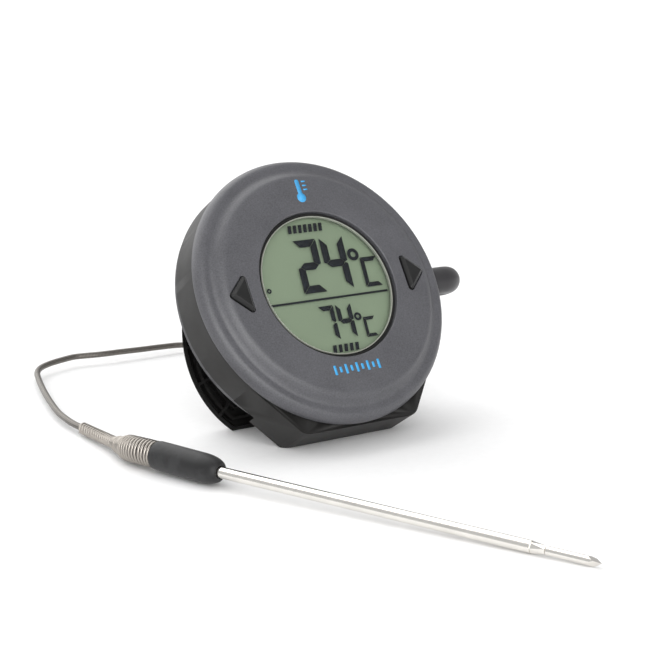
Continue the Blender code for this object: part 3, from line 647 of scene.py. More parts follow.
def woven_steel(name, diameter, pitch):
    """A braid of fine stainless wires: strands that wind opposite ways and cross over and under, with painted
    shade in the dips and a painted highlight on each crossing.
    """
    made, tree, shader = new_finish(name, 0.34, metallic=1.0)
    where = add(tree, "ShaderNodeUVMap", uv_map="Run")
    parts = add(tree, "ShaderNodeSeparateXYZ", {"Vector": where.outputs["UV"]})
    carriers = 6  # strands each way round
    waves = []
    for way in (1.0, -1.0):
        run = add(
            tree, "ShaderNodeMath", {0: parts.outputs["X"], 1: way * carriers / pitch}, operation="MULTIPLY"
        )
        both = add(
            tree,
            "ShaderNodeMath",
            {0: parts.outputs["Y"], 1: carriers, 2: run.outputs[0]},
            operation="MULTIPLY_ADD",
        )
        turn = add(tree, "ShaderNodeMath", {0: both.outputs[0], 1: 2 * math.pi}, operation="MULTIPLY")
        waves.append(add(tree, "ShaderNodeMath", {0: turn.outputs[0]}, operation="SINE").outputs[0])
    over = add(tree, "ShaderNodeMath", {0: waves[0], 1: waves[1]}, operation="MULTIPLY")
    lift_and_painted_shade = add(
        tree, "ShaderNodeMath", {0: over.outputs[0], 1: 0.5, 2: 0.5}, operation="MULTIPLY_ADD"
    ).outputs[0]
    # Painted shade and highlight: the steel's colour is darkened in the dips between strands and lightened on
    # the crossings.
    tinted(tree, shader, lift_and_painted_shade, linear("74706B"), 0.5, 0.1, 0.9)
    bumped(tree, shader, lift_and_painted_shade, 0.05 * diameter)
    return made


def nickel_plate(name, colour=linear("BDB7AC")):
    """Nickel-plated steel from a tumbling barrel: bright, a little warm, with faint uneven lustre."""
    made, tree, shader = new_finish(name, 0.24, metallic=1.0)
    place = add(tree, "ShaderNodeTexCoord").outputs["Object"]
    cloud = add(tree, "ShaderNodeTexNoise", {"Vector": place, "Scale": per_metre(1.6), "Detail": 4.0})
    tinted(tree, shader, cloud.outputs["Fac"], colour, 0.08)
    roughened(tree, shader, cloud.outputs["Fac"], 0.18, 0.32)
    bumped(tree, shader, cloud.outputs["Fac"], 0.004)
    return made


def clear_acrylic(name, tint):
    """Cast acrylic, polished: what is behind it shows straight through, under a thin hard reflection."""
    made = bpy.data.materials.new(name)
    made.use_nodes = True
    tree = made.node_tree
    shader = tree.nodes["Principled BSDF"]
    shader.inputs["Metallic"].default_value = 1.0
    shader.inputs["Base Color"].default_value = (1.0, 1.0, 1.0, 1.0)
    place = add(tree, "ShaderNodeTexCoord").outputs["Object"]
    wear = add(tree, "ShaderNodeTexNoise", {"Vector": place, "Scale": per_metre(5.0), "Detail": 3.0})
    roughened(tree, shader, wear.outputs["Fac"], 0.03, 0.07)
    through = add(tree, "ShaderNodeBsdfTransparent", {"Color": (*tint, 1.0)})
    edge = add(tree, "ShaderNodeFresnel", {"IOR": 1.49}).outputs["Fac"]
    inner = add(tree, "ShaderNodeNewGeometry").outputs["Backfacing"]
    outer = add(tree, "ShaderNodeMath", {0: 1.0, 1: inner}, operation="SUBTRACT").outputs[0]
    mirrored = add(tree, "ShaderNodeMath", {0: edge, 1: outer}, operation="MULTIPLY").outputs[0]
    both = add(tree, "ShaderNodeMixShader", {0: mirrored, 1: through.outputs[0], 2: shader.outputs[0]})
    tree.links.new(both.outputs[0], tree.nodes["Material Output"].inputs["Surface"])
    return made


def display_film(name, colour):
    """A reflective display's rear film: grey-green, with a ribbed lustre and painted light that makes it
    paler to one side.
    """
    made, tree, shader = new_finish(name, 0.42, ior=1.5)
    place = add(tree, "ShaderNodeTexCoord").outputs["Object"]
    painted_side_light = add(tree, "ShaderNodeTexNoise", {"Vector": place, "Scale": per_metre(26.0), "Detail": 1.0})
    fine = add(tree, "ShaderNodeTexNoise", {"Vector": place, "Scale": per_metre(0.3)})
    # Painted light: a broad swell in the colour makes the film paler to one side.
    tinted(tree, shader, painted_side_light.outputs["Fac"], colour, 0.045)
    bumped(tree, shader, fine.outputs["Fac"], 0.003)
    return made


def display_segment(name, colour):
    """Switched liquid crystal: blue-black, barely uneven, lying just under the front glass."""
    made, tree, shader = new_finish(name, 0.5)
    shader.inputs["Specular IOR Level"].default_value = 0.08
    place = add(tree, "ShaderNodeTexCoord").outputs["Object"]
    uneven = add(tree, "ShaderNodeTexNoise", {"Vector": place, "Scale": per_metre(1.4), "Detail": 2.0})
    tinted(tree, shader, uneven.outputs["Fac"], colour, 0.14)
    return made


def printed_ink(name, colour):
    """Pad-printed ink: an even matt film that takes up the grain below it."""
    made, tree, shader = new_finish(name, 0.45)
    place = add(tree, "ShaderNodeTexCoord").outputs["Object"]
    grain = add(tree, "ShaderNodeTexNoise", {"Vector": place, "Scale": per_metre(0.3), "Detail": 2.0})
    tinted(tree, shader, grain.outputs["Fac"], colour, 0.07)
    bumped(tree, shader, grain.outputs["Fac"], 0.01)
    return made


def solder_mask(name):
    """A circuit board's green mask over copper: glossy, with paler tracks showing as fine raised lines."""
    made, tree, shader = new_finish(name, 0.28, ior=1.55)
    place = add(tree, "ShaderNodeTexCoord").outputs["Object"]
    tracks = add(
        tree,
        "ShaderNodeTexBrick",
        {"Vector": place, "Scale": 1.0, "Brick Width": 0.0042, "Row Height": 0.0018},
    )
    tracks.inputs["Mortar Size"].default_value = 0.00022
    tracks.inputs["Color1"].default_value = (*linear("1F5A34"), 1.0)
    tracks.inputs["Color2"].default_value = (*linear("235F38"), 1.0)
    tracks.inputs["Mortar"].default_value = (*linear("3C8A52"), 1.0)
    tree.links.new(tracks.outputs["Color"], shader.inputs["Base Color"])
    bumped(tree, shader, tracks.outputs["Fac"], 0.03)
    return made


def cell_jacket(name):
    """A dry cell's printed shrink jacket: dark grey with one pale band, smooth with slight creases."""
    made, tree, shader = new_finish(name, 0.3)
    place = add(tree, "ShaderNodeTexCoord").outputs["Object"]
    across = add(tree, "ShaderNodeSeparateXYZ", {"Vector": place}).outputs["X"]
    band = add(tree, "ShaderNodeMath", {0: across, 1: 0.013, 2: 0.004}, operation="COMPARE")
    tinted(tree, shader, band.outputs[0], linear("6E7074"), 0.55, 0.2, 0.8)
    crease = add(tree, "ShaderNodeTexNoise", {"Vector": place, "Scale": per_metre(3.0), "Detail": 3.0})
    bumped(tree, shader, crease.outputs["Fac"], 0.03)
    return made


def striped_elastomer(name):
    """The display's contact strip: pink-grey silicone with fine black conducting layers across it."""
    made, tree, shader = new_finish(name, 0.6, ior=1.41)
    place = add(tree, "ShaderNodeTexCoord").outputs["Object"]
    layers = add(tree, "ShaderNodeTexWave", {"Vector": place, "Scale": per_metre(2.0), "Distortion": 0.2})
    tinted(tree, shader, layers.outputs["Fac"], linear("6B5A5C"), 0.8, 0.4, 0.6)
    bumped(tree, shader, layers.outputs["Fac"], 0.01)
    return made


def frosted_acrylic(name):
    """The light guide's milky acrylic: white, with a dot screen that scatters its light."""
    made, tree, shader = new_finish(name, 0.35, ior=1.49)
    place = add(tree, "ShaderNodeTexCoord").outputs["Object"]
    dots = add(tree, "ShaderNodeTexVoronoi", {"Vector": place, "Scale": per_metre(0.8)})
    tinted(tree, shader, dots.outputs["Distance"], linear("E2E2DC"), 0.06)
    bumped(tree, shader, dots.outputs["Distance"], 0.02)
    return made


def seamless_paper(name):
    """White background paper: flat white with the faintest fibre."""
    made, tree, shader = new_finish(name, 0.9)
    shader.inputs["Specular IOR Level"].default_value = 0.1
    place = add(tree, "ShaderNodeTexCoord").outputs["Object"]
    fibre = add(tree, "ShaderNodeTexNoise", {"Vector": place, "Scale": per_metre(2.5), "Detail": 4.0})
    tinted(tree, shader, fibre.outputs["Fac"], (0.93, 0.93, 0.93), 0.01)
    return made


# --- Front shell and display ---


def button_outline(side, grow=0.0):
    """The triangle of an arrow button, pointing outwards. side is 1 on the right and -1 on the left."""
    lean = math.atan2(BUTTON_HALF_HEIGHT, BUTTON_TIP - BUTTON_BASE)
    tip = BUTTON_TIP + grow / math.sin(lean)
    base = BUTTON_BASE - grow
    high = BUTTON_HALF_HEIGHT + grow / math.tan((math.pi / 2 - lean) / 2)
    corners = [(base, -high), (tip, 0.0), (base, high)]
    outline = rounded_corners(corners, [max(0.15, BUTTON_CORNER + grow)] * 3)
    return outline if side > 0 else [(-x, y) for x, y in reversed(outline)]


def button_body(side, levels):
    """An arrow's solid through levels of (how much larger than the arrow, height)."""
    return loft([[(x, y, height) for x, y in button_outline(side, grow)] for grow, height in levels])


class OBJECT_OT_thermometer_shell(bpy.types.Operator):
    """The front shell: a flat face, a rounded shoulder, a shallow valley and a rim, all turned"""

    bl_idname = "object.thermometer_shell"
    bl_label = "Front Shell"

    def execute(self, context):
        look, sizes = context.scene.thermometer_colours, context.scene.thermometer_sizes
        shoulder = curved(
            [
                (32.4, 0.0),
                (33.6, -0.05),
                (34.6, -0.38),
                (35.5, -1.05),
                (36.2, -1.75),
                (36.9, -2.3),
                (37.6, -2.58),
                (38.4, -2.6),
                (39.3, -2.68),
                (40.1, -3.05),
                (40.8, -3.75),
                (41.3, -4.7),
                (SHELL_RADIUS, -5.7),
            ],
            6,
        )
        edge = arc((WINDOW_RADIUS + 0.35, -0.35), 0.35, 180, 90, 4)
        rim = [(SHELL_RADIUS, SHELL_EDGE + 0.15), (SHELL_RADIUS - 0.15, SHELL_EDGE), (39.9, SHELL_EDGE)]
        inside = [(39.6, -5.6), (38.4, -4.8), (36.6, -4.1), (34.8, -2.7)]
        inside += [(33.6, -SHELL_WALL), (WINDOW_RADIUS, -SHELL_WALL)]
        profile = edge + [tuple(point) for point in shoulder] + rim + inside
        steps = []
        for x, y in SCREW_PLACES:
            steps += grown(rod((x, y, -4.4), (x, y, POST_END), 2.6))
            steps += cut(rod((x, y, -9.5), (x, y, -22.0), 1.1))
        for side in (-1, 1):
            steps += cut(button_body(side, BUTTON_HOLE))
        skin = carved(turned(profile, closed=True), steps, angle=30)
        finish = moulded_abs("Moulded satin grey ABS", look.shell, 0.42, sizes.shell_grain, 0.034, 0.26)
        piece("front_shell_skin", skin, HOUSING, "housing", "front_shell", finish, "front_shell")
        ink = printed_ink("Printed blue ink", look.mark)
        for name, shapes in (
            ("upper_mark", thermometer_sign(0.0, 29.7)), ("lower_mark", scale_ticks(0.0, -26.4))
        ):
            piece(name, joined(shapes), HOUSING, "housing", "front_shell", ink)
        return {"FINISHED"}


INK = (-0.02, 0.02)  # printed ink's lower and upper face, from the shell's


def patch(left, low, right, high, faces, lean=0.0):
    """A flat patch between two faces, its sides leaning to the right by this share of its height."""
    slip = lean * (high - low)
    return plate([(left, low), (right, low), (right + slip, high), (left + slip, high)], *faces)


def thermometer_sign(x, y):
    """A plain thermometer sign: a bulb under a stem."""
    bulb = arc((x, y - 2.2), 1.5, 118, 422, 40)
    stem = arc((x, y + 3.0), 0.7, 0, 180, 12)
    marks = [patch(x + 1.5, y + high - 0.22, x + 2.9, y + high + 0.22, INK) for high in (0.3, 1.6, 2.9)]
    return [plate(bulb + stem, *INK), *marks]


def scale_ticks(x, y):
    """A short row of upright ticks, like a dial's, every third one tall."""
    ticks = []
    for i in range(-4, 5):
        half = 1.45 if i % 2 == 0 else 0.85
        left = x + i * 1.9
        corners = rectangle(left - 0.42, y - half, left + 0.42, y + half)
        ticks.append(plate(rounded_corners(corners, [0.2] * 4, 3), *INK))
    return ticks


class OBJECT_OT_thermometer_window(bpy.types.Operator):
    """The window: a black gasket, the lens's edge drawn as a light grey ring of painted glint, and the clear
    lens
    """

    bl_idname = "object.thermometer_window"
    bl_label = "Window"

    def execute(self, context):
        gasket = [(21.9, -1.4), (22.2, -1.25), (22.72, -1.25), (22.82, -1.35), (22.82, -1.9), (21.9, -1.9)]
        gasket = shaded(turned(gasket, closed=True))
        black = silicone_rubber("Black window gasket", linear("0D0D0C"), 0.55)
        piece("window_gasket", gasket, HOUSING, "housing", "window_trim", black, "window_trim")
        # Painted glint: the clear lens's bright edge is drawn as an opaque light grey ring.
        edge = [(21.58, -1.02), (21.66, -0.94), (21.8, -0.96), (21.86, -1.08), (21.86, -1.9), (21.62, -1.9)]
        painted_glint = moulded_abs("Lens edge with painted glint", linear("9A9C92"), 0.3, 0.5, 0.004, 0.1)
        piece("window_edge", shaded(turned(edge, closed=True)), HOUSING, "housing", "window_trim", painted_glint)
        side = LENS_RADIUS - 0.1
        lens = shaded(turned([(0.0, -1.0), (side - 0.15, -1.0), (side, -1.1), (side, -1.9), (0.0, -1.9)]))
        clear = clear_acrylic("Clear cast acrylic", (0.97, 0.985, 0.975))
        piece("window_pane", lens, HOUSING, "housing", "window_lens", clear, "window_lens")
        return {"FINISHED"}


# The display's layout, in the housing's frame.
SEGMENT = (-2.42, -2.36)  # the segments' back and front
FILM_FRONT = -2.95
SLANT = 0.085
LIT = {"2": "abged", "4": "fgbc", "7": "abc", "C": "aLd"}


def segments(lit, left, low, width, height, thick, gap=0.14):
    """The lit bars of a seven-segment digit, mitred at their ends and leaning a little to the right."""
    middle = height / 2
    half = thick / 2
    mitre = thick + gap * 0.4
    shapes = {
        "a": [(gap, height), (mitre, height - thick), (width - mitre, height - thick), (width - gap, height)],
        "d": [(gap, 0), (width - gap, 0), (width - mitre, thick), (mitre, thick)],
        "g": [
            (thick * 0.35 + gap, middle),
            (thick, middle - half),
            (width - thick, middle - half),
            (width - thick * 0.35 - gap, middle),
            (width - thick, middle + half),
            (thick, middle + half),
        ],
        "f": [
            (0, height - gap),
            (0, middle + half * 0.4),
            (half * 0.8, middle + gap),
            (thick, middle + half + gap),
            (thick, height - thick - gap),
        ],
        "e": [
            (0, gap),
            (thick, thick + gap),
            (thick, middle - half - gap),
            (half * 0.8, middle - gap),
            (0, middle - half * 0.4),
        ],
        "L": [(0, gap), (thick, thick + gap), (thick, height - thick - gap * 0.4), (0, height - gap * 0.4)],
    }
    for word, twin in (("b", "f"), ("c", "e")):
        shapes[word] = [(width - x, y) for x, y in reversed(shapes[twin])]
    placed = []
    for word in lit:
        outline = [(left + x + SLANT * y, low + y) for x, y in shapes[word]]
        placed.append(plate(outline, *SEGMENT))
    return placed


def degree_ring(x, y, outer, inner):
    back, front = SEGMENT
    ring = turned([(outer, front), (outer, back), (inner, back), (inner, front)], 48, closed=True)
    ring.transform(Matrix.Translation((x, y, 0)))
    return [ring]


def slanted_bars(count, left, low, width, height, pitch):
    """A plain row of short slanted bars."""
    places = [left + i * pitch for i in range(count)]
    return [patch(x, low, x + width, low + height, SEGMENT, 0.2) for x in places]


class OBJECT_OT_thermometer_display(bpy.types.Operator):
    """The display: its film, and the segments that hang just in front of it"""

    bl_idname = "object.thermometer_display"
    bl_label = "Display"

    def execute(self, context):
        look = context.scene.thermometer_colours
        side = (23.5, FILM_FRONT - 0.15), (23.5, -4.0)
        film = turned([(0.0, FILM_FRONT), (23.3, FILM_FRONT), *side, (0.0, -4.0)])
        finish = display_film("Grey-green display film", look.film)
        piece("display_film", shaded(film), HOUSING, "housing", "lcd_glass", finish, "lcd_glass")
        dark = display_segment("Dark display segments", look.segment)
        upper = segments(LIT["2"], -7.95, -1.65, 8.1, 16.7, 2.3)
        upper += segments(LIT["4"], 1.4, -1.65, 8.2, 16.7, 2.3)
        upper += degree_ring(12.95, 8.7, 1.95, 0.88)
        upper += segments(LIT["C"], 14.05, -2.0, 6.0, 9.4, 1.35)
        lower = segments(LIT["7"], -5.95, -16.8, 5.2, 10.7, 1.45)
        lower += segments(LIT["4"], 0.05, -16.8, 5.3, 10.7, 1.45)
        lower += degree_ring(7.5, -10.6, 1.25, 0.55)
        lower += segments(LIT["C"], 8.55, -17.3, 4.2, 6.2, 0.95)
        signs = [patch(-20.2, -4.18, 20.9, -3.56, SEGMENT)]
        signs += slanted_bars(7, -6.9, 17.4, 1.15, 2.5, 1.8)
        signs += slanted_bars(5, -4.6, -20.6, 1.15, 2.3, 1.95)
        signs += degree_ring(-19.4, 0.7, 0.75, 0.3)
        for name, shapes in (("upper_reading", upper), ("lower_reading", lower), ("display_signs", signs)):
            piece(name, joined(shapes), HOUSING, "housing", "lcd_glass", dark)
        return {"FINISHED"}


class OBJECT_OT_thermometer_buttons(bpy.types.Operator):
    """Both arrow buttons: triangular caps with sloping sides, each with its flange and plunger below"""

    bl_idname = "object.thermometer_buttons"
    bl_label = "Arrow Buttons"

    def execute(self, context):
        look = context.scene.thermometer_colours
        rubber = silicone_rubber("Black silicone button", look.button, 0.46, 0.1, 3.0)
        for word, side in (("left", -1), ("right", 1)):
            middle = side * 29.6
            flange = rod((middle, 0, -2.2), (middle, 0, -3.0), 4.0)
            plunger = rod((middle, 0, -2.8), (middle, 0, -3.6), 1.4)
            cap = carved(button_body(side, BUTTON_CAP), grown(flange, plunger), angle=28)
            piece(f"{word}_button_cap", cap, HOUSING, f"{word}_button", "button", rubber, f"{word}_button")
        return {"FINISHED"}


# --- Rear housing, cover and stand ---

SMALL_EDGE = (0.14, 40, 2)  # rounding, the least angle it works on, and its segments


def hinge_rod(left, right, radius):
    """A rod along the stand's hinge."""
    return rod((left, *HINGE[1:]), (right, *HINGE[1:]), radius)


def foot_outline():
    """The foot: straight sides that leave the band at a tangent, and a straight underside."""
    corner = Vector((FOOT_HALF_WIDTH, -FACE_TO_FOOT))
    touch = math.atan2(corner.y, corner.x) + math.acos(BAND_RADIUS / corner.length)
    side = (BAND_RADIUS * math.cos(touch), BAND_RADIUS * math.sin(touch))
    corners = [(-side[0], side[1]), (-corner.x, corner.y), tuple(corner), side]
    return rounded_corners(corners, [0, FOOT_CORNER, FOOT_CORNER, 0])


def below_table(place):
    """Everything under the table's surface, in the millimetres of place's frame."""
    ground = box((-120, -120, -60), (120, 120, 0))
    ground.transform(place.inverted() @ TABLE)
    return ground


class OBJECT_OT_thermometer_band(bpy.types.Operator):
    """The rear housing: the band round the unit and the foot that it stands on"""

    bl_idname = "object.thermometer_band"
    bl_label = "Band and Foot"

    def execute(self, context):
        inner = BAND_RADIUS - BAND_WALL
        profile = [
            (inner, BAND_FRONT),
            (BAND_RADIUS - 0.45, BAND_FRONT),
            (BAND_RADIUS - 0.13, BAND_FRONT - 0.13),
            (BAND_RADIUS, BAND_FRONT - 0.45),
            (BAND_RADIUS, BAND_REAR + 0.3),
            (BAND_RADIUS - 0.3, BAND_REAR),
            (inner, BAND_REAR),
        ]
        steps = grown(plate(foot_outline(), FOOT_REAR, FOOT_FRONT)) + cut(
            rod((0, 0, -2), (0, 0, -24), inner, sides=ROUND),
            plate(flat_disc(BAND_RADIUS - 0.2, COVER_CHORD + 0.3), -24.0, BAND_REAR),
            box((-45, -HEEL_TOP, -24.0), (45, 10, BAND_REAR)),
            rod((34, 0, SOCKET_DEPTH), (46, 0, SOCKET_DEPTH), 2.1),
            below_table(HOUSING),
        )
        look, sizes = context.scene.thermometer_colours, context.scene.thermometer_sizes
        mesh = carved(turned(profile, closed=True), steps, sizes.edge_radius, 40)
        finish = moulded_abs("Soft-touch charcoal coat", look.band, 0.55, 0.4, 0.016, 0.16)
        piece("band_and_foot", mesh, HOUSING, "housing", "rear_housing", finish, "rear_housing")
        return {"FINISHED"}


class OBJECT_OT_thermometer_cover(bpy.types.Operator):
    """The rear cover with its hinge lugs, screws, battery door and switch"""

    bl_idname = "object.thermometer_cover"
    bl_label = "Rear Cover"

    def execute(self, context):
        look = context.scene.thermometer_colours
        grey = moulded_abs("Moulded grey ABS", look.cover, 0.46, 0.4, 0.02)
        black = moulded_abs("Moulded black ABS", linear("202022"), 0.42, 0.3, 0.012)
        piece("rear_cover_skin", self.cover(), HOUSING, "housing", "rear_cover", grey, "rear_cover")
        piece("battery_door_skin", self.door(), HOUSING, "battery_door", "rear_cover", grey, "battery_door")
        piece("switch_knob", self.knob(), HOUSING, "switch_knob", "black_part", black, "power_switch_knob")
        plated = nickel_plate("Nickel-plated screw")
        for i, (x, y) in enumerate(SCREW_PLACES):
            mesh = self.screw()
            mesh.transform(Matrix.Translation((x, y, 0)))
            piece(f"cover_screw_{i + 1}", mesh, HOUSING, "housing", "nickel", plated, f"screw_{i + 1}")
        return {"FINISHED"}

    def cover(self):
        profile = [
            (0.0, COVER_INSIDE),
            (COVER_RADIUS - 1.9, COVER_INSIDE),
            (COVER_RADIUS - 1.9, COVER_INSIDE + 1.2),
            (COVER_RADIUS - 0.15, COVER_INSIDE + 1.2),
            (COVER_RADIUS, COVER_INSIDE + 1.05),
            (COVER_RADIUS, COVER_INSIDE - 0.1),
            (COVER_FLAT + 0.2, COVER_BACK + 0.1),
            (COVER_FLAT - 0.15, COVER_BACK),
            (0.0, COVER_BACK),
        ]
        steps = []
        for low, high in ((-16.4, -12.8), (12.8, 16.4)):
            steps += grown(box((low, 31.3, -23.2), (high, 35.3, -20.0)), hinge_rod(low, high, 1.95))
        steps += cut(hinge_rod(-20, 20, 1.2), box((-45, -60, -26), (45, -COVER_CHORD, -15)))
        x, y = DOOR_HALF[0] + 0.3, DOOR_HALF[1] + 0.3
        steps += cut(box((-x, TRAY_MIDDLE - y, -26.0), (x, TRAY_MIDDLE + y, -17.0)))
        x, y = SWITCH_AT
        steps += cut(box((x - 3.8, y - 1.8, -26.0), (x + 3.8, y + 1.8, -17.0)))
        for x, y in SCREW_PLACES:
            steps += cut(rod((x, y, -22.0), (x, y, -17.0), 1.4), rod((x, y, -21.3), (x, y, -19.6), 3.0, 1.3))
        return carved(turned(profile), steps, *SMALL_EDGE)

    def door(self):
        x, y = DOOR_HALF
        outline = rounded_corners(rectangle(-x, TRAY_MIDDLE - y, x, TRAY_MIDDLE + y), [0.4] * 4)
        steps = cut(rod((0, 6.6, -24.5), (0, 6.6, -20.5), 3.0))
        for i in range(5):
            low = TRAY_MIDDLE + 2.5 - i * 1.3
            steps += cut(box((-6.0, low, -21.6), (6.0, low + 0.6, COVER_BACK + 0.3)))
        return carved(plate(outline, COVER_BACK, DOOR_FRONT), steps, *SMALL_EDGE)

    def knob(self):
        x, y = SWITCH_AT[0] - SWITCH_TRAVEL / 2, SWITCH_AT[1]
        lefts = [x - 0.9 + i * 0.7 for i in range(3)]
        steps = cut(*(box((left, y - 2, -22.5), (left + 0.35, y + 2, -21.45)) for left in lefts))
        return carved(box((x - 2.0, y - 1.5, -21.7), (x + 2.0, y + 1.5, -18.8)), steps, 0.08, 40, 2)

    def screw(self):
        profile = [(0.0, -10.5), (0.8, -10.5), (0.8, -19.9), (2.15, -20.8), (1.9, -20.9), (0.0, -20.9)]
        cross = cut(
            box((-1.2, -0.22, -21.5), (1.2, 0.22, -20.2)), box((-0.22, -1.2, -21.5), (0.22, 1.2, -20.2))
        )
        return carved(turned(profile, 48), cross, 0.04, 40, 2)


def flat_bowl(edge, chord):
    """A disc about the stand's middle with a straight lower edge, whose radius changes with its depth."""
    return loft(
        [[(x, y, depth) for x, y in flat_disc(radius, chord, STAND_MIDDLE)] for radius, depth in edge]
    )


def flat_ring(outer, inner, low, high):
    """The closed band between two outlines of as many points."""
    sides = ((outer, low), (outer, high), (inner, high), (inner, low))
    return loft([[(x, y, z) for x, y in outline] for outline, z in sides], endless=True)


class OBJECT_OT_thermometer_stand(bpy.types.Operator):
    """The fold-out stand: a thin skin with ring and spoke ribs inside, two magnets and the hinge pin"""

    bl_idname = "object.thermometer_stand"
    bl_label = "Stand"

    def execute(self, context):
        nylon = glass_filled_nylon("Black glass-filled nylon", context.scene.thermometer_colours.stand)
        piece("stand_shell", self.shell(), STAND, "stand", "stand", nylon, "stand")
        plated = nickel_plate("Nickel-plated magnet")
        for i, x in enumerate((-MAGNET_SIDE, MAGNET_SIDE)):
            profile = [(0.0, -23.2), (4.75, -23.2), (5.0, -23.45), (5.0, -24.65), (4.75, -24.9), (0.0, -24.9)]
            disc = turned(profile, 64)
            disc.transform(Matrix.Translation((x, STAND_MIDDLE, 0)))
            piece(f"magnet_{i + 1}", shaded(disc), STAND, "stand", "nickel", plated, f"stand_magnet_{i + 1}")
        refinish(nickel_plate("Bright hinge pin", linear("B9B6B0")), "hinge_pin")
        return {"FINISHED"}

    def shell(self):
        floor = POCKET_EDGE[0][1]
        outer_rib = [flat_disc(*side, STAND_MIDDLE) for side in OUTER_RIB]
        inner_rib = [flat_disc(*side, STAND_MIDDLE) for side in INNER_RIB]
        walls = cut(plate(inner_rib[0], -27.0, -18.0), flat_ring(*outer_rib, -27.0, -18.0))
        for i in range(RIB_BARS):
            bar = box((-40, -0.45, -27.0), (40, 0.45, -18.0))
            turn = Matrix.Rotation(math.pi * i / RIB_BARS, 4, "Z")
            bar.transform(Matrix.Translation((0, STAND_MIDDLE, 0)) @ turn)
            walls += cut(bar)
        pockets = carved(flat_bowl(POCKET_EDGE, POCKET_CHORD), walls)
        recess = carved(plate(inner_rib[1], floor, -20.0), cut(*self.magnet_rods(-22.4, 6.4)))
        steps = cut(pockets, recess, *self.magnet_rods(-22.9, 5.3))
        steps += grown(box((-12.4, 26.0, -24.7), (12.4, HINGE.y, -23.5)), hinge_rod(-12.4, 12.4, 1.7))
        steps += cut(hinge_rod(-20, 20, 1.2), below_table(STAND))
        return carved(flat_bowl(STAND_EDGE, STAND_CHORD), steps, 0.16, 40, 2)

    def magnet_rods(self, depth, radius):
        """A rod at each magnet's place, from behind the stand to this depth."""
        sides = (-MAGNET_SIDE, MAGNET_SIDE)
        return [rod((x, STAND_MIDDLE, -27.0), (x, STAND_MIDDLE, depth), radius) for x in sides]


class OBJECT_OT_thermometer_inside(bpy.types.Operator):
    """The sealed inner pieces, which keep their CAD shapes"""

    bl_idname = "object.thermometer_inside"
    bl_label = "Inner Parts"

    def execute(self, context):
        refinish(solder_mask("Green solder mask"), "main_board")
        refinish(cell_jacket("Printed cell jacket"), "battery_1", "battery_2")
        refinish(striped_elastomer("Striped contact elastomer"), "upper_contact_strip", "lower_contact_strip")
        refinish(frosted_acrylic("Frosted acrylic light guide"), "light_guide")
        black = moulded_abs("Moulded black nylon", linear("29292B"), 0.48, 0.3, 0.015)
        refinish(
            black,
            "left_tact_switch",
            "right_tact_switch",
            "buzzer",
            "battery_tray",
            "power_switch",
            "probe_socket",
        )
        plated = nickel_plate("Nickel-plated contact")
        refinish(
            plated,
            "battery_plate_1",
            "battery_plate_2",
            "battery_spring_1",
            "battery_spring_2",
            "radio_module",
        )
        return {"FINISHED"}


# --- Plug, cable and probe ---


def plug_path():
    """The middle line of the right-angled plug: out of the socket, round the bend and back."""
    points = [(PLUG_START, 0.0, SOCKET_DEPTH)]
    middle = (PLUG_BEND_FROM, SOCKET_DEPTH - PLUG_BEND)
    points += [(x, 0.0, z) for x, z in arc(middle, PLUG_BEND, 90, 0, 16)]
    start = points[-1]
    reach = start[2] - PLUG_ARM_END
    for i in range(1, 13):
        part = i / 12
        points.append((start[0], -PLUG_ARM_DROP * part**2, start[2] - reach * part))
    socket = Vector((0.0, 0.0, SOCKET_DEPTH))
    hang = Matrix.Rotation(PLUG_HANG, 3, "X")
    return [socket + hang @ (Vector(point) - socket) for point in points]


def boot_radius(part):
    """The boot's radius, this part of the way along it: full round the bend, slim where the cable leaves."""
    if part < 0.04:
        return 3.75 + 0.45 * math.sin(part / 0.04 * math.pi / 2)
    taper = max(0.0, (part - 0.5) / 0.5)
    slim = 4.2 - 2.1 * taper**1.25
    return slim - (0.35 * ((part - 0.965) / 0.035) ** 2 if part > 0.965 else 0.0)


def coil_turns():
    """The wound turns: layers of flat spirals, one on another, between the cable's two free ends."""
    points = []
    turns = COIL_LAYERS * LAYER_TURNS
    steps = 36  # points for each turn
    leaving = 45.7  # degrees past the last full turn, where the free cable goes on
    last = turns * steps + round(leaving / 360 * steps)
    for i in range(1, last):
        degrees = i * 360 / steps
        turn = min(degrees / 360, turns)
        layer = min(int(turn / LAYER_TURNS), COIL_LAYERS - 1)
        part = turn / LAYER_TURNS - layer
        inward = part if layer % 2 == 0 else 1 - part
        radius = COIL_OUTER - (COIL_OUTER - COIL_INNER) * inward
        height = LYING + LAYER_STEP * layer
        rise = (part * LAYER_TURNS - (LAYER_TURNS - 1 / 6)) * 6
        if rise > 0 and layer < COIL_LAYERS - 1:
            height += LAYER_STEP * eased(rise)
        radius += (COIL_EDGE - COIL_OUTER) * (1 - eased(degrees / 60))
        left = degrees - turns * 360
        radius += 2.4 * eased((left + 65) / 60) + 0.25 * eased(left / leaving)
        height -= (height - LYING) * blend_down(left)
        angle = math.radians(degrees)
        x, y = COIL_MIDDLE
        points.append(Vector((x + radius * math.cos(angle), y + radius * math.sin(angle), height)))
    return points


def eased(part):
    """0 to 1 with a soft start and end."""
    part = min(1.0, max(0.0, part))
    return part * part * (3 - 2 * part)


def blend_down(left):
    """How far the cable has come down off the coil, this many degrees past the last full turn."""
    return eased((left + 40) / 84)


def cable_line():
    """The cable's middle line, in world millimetres, from the plug's boot to inside the probe's sleeve."""
    boot = [HOUSING @ point / MM for point in plug_path()[-2:]]
    direction = (boot[1] - boot[0]).normalized()
    start = boot[1] - direction * 1.5
    route = [start, boot[1] + direction * 3.0, *NEAR_ROUTE]
    near = curved(route, 12)
    far = curved(FAR_ROUTE[:-1] + SPRING_ROUTE, 12)
    inside = SLEEVE_REAR + (SLEEVE_FRONT - SLEEVE_REAR).normalized() * 3.0
    return spaced(near[:-1] + coil_turns() + far + [inside], 1.1)


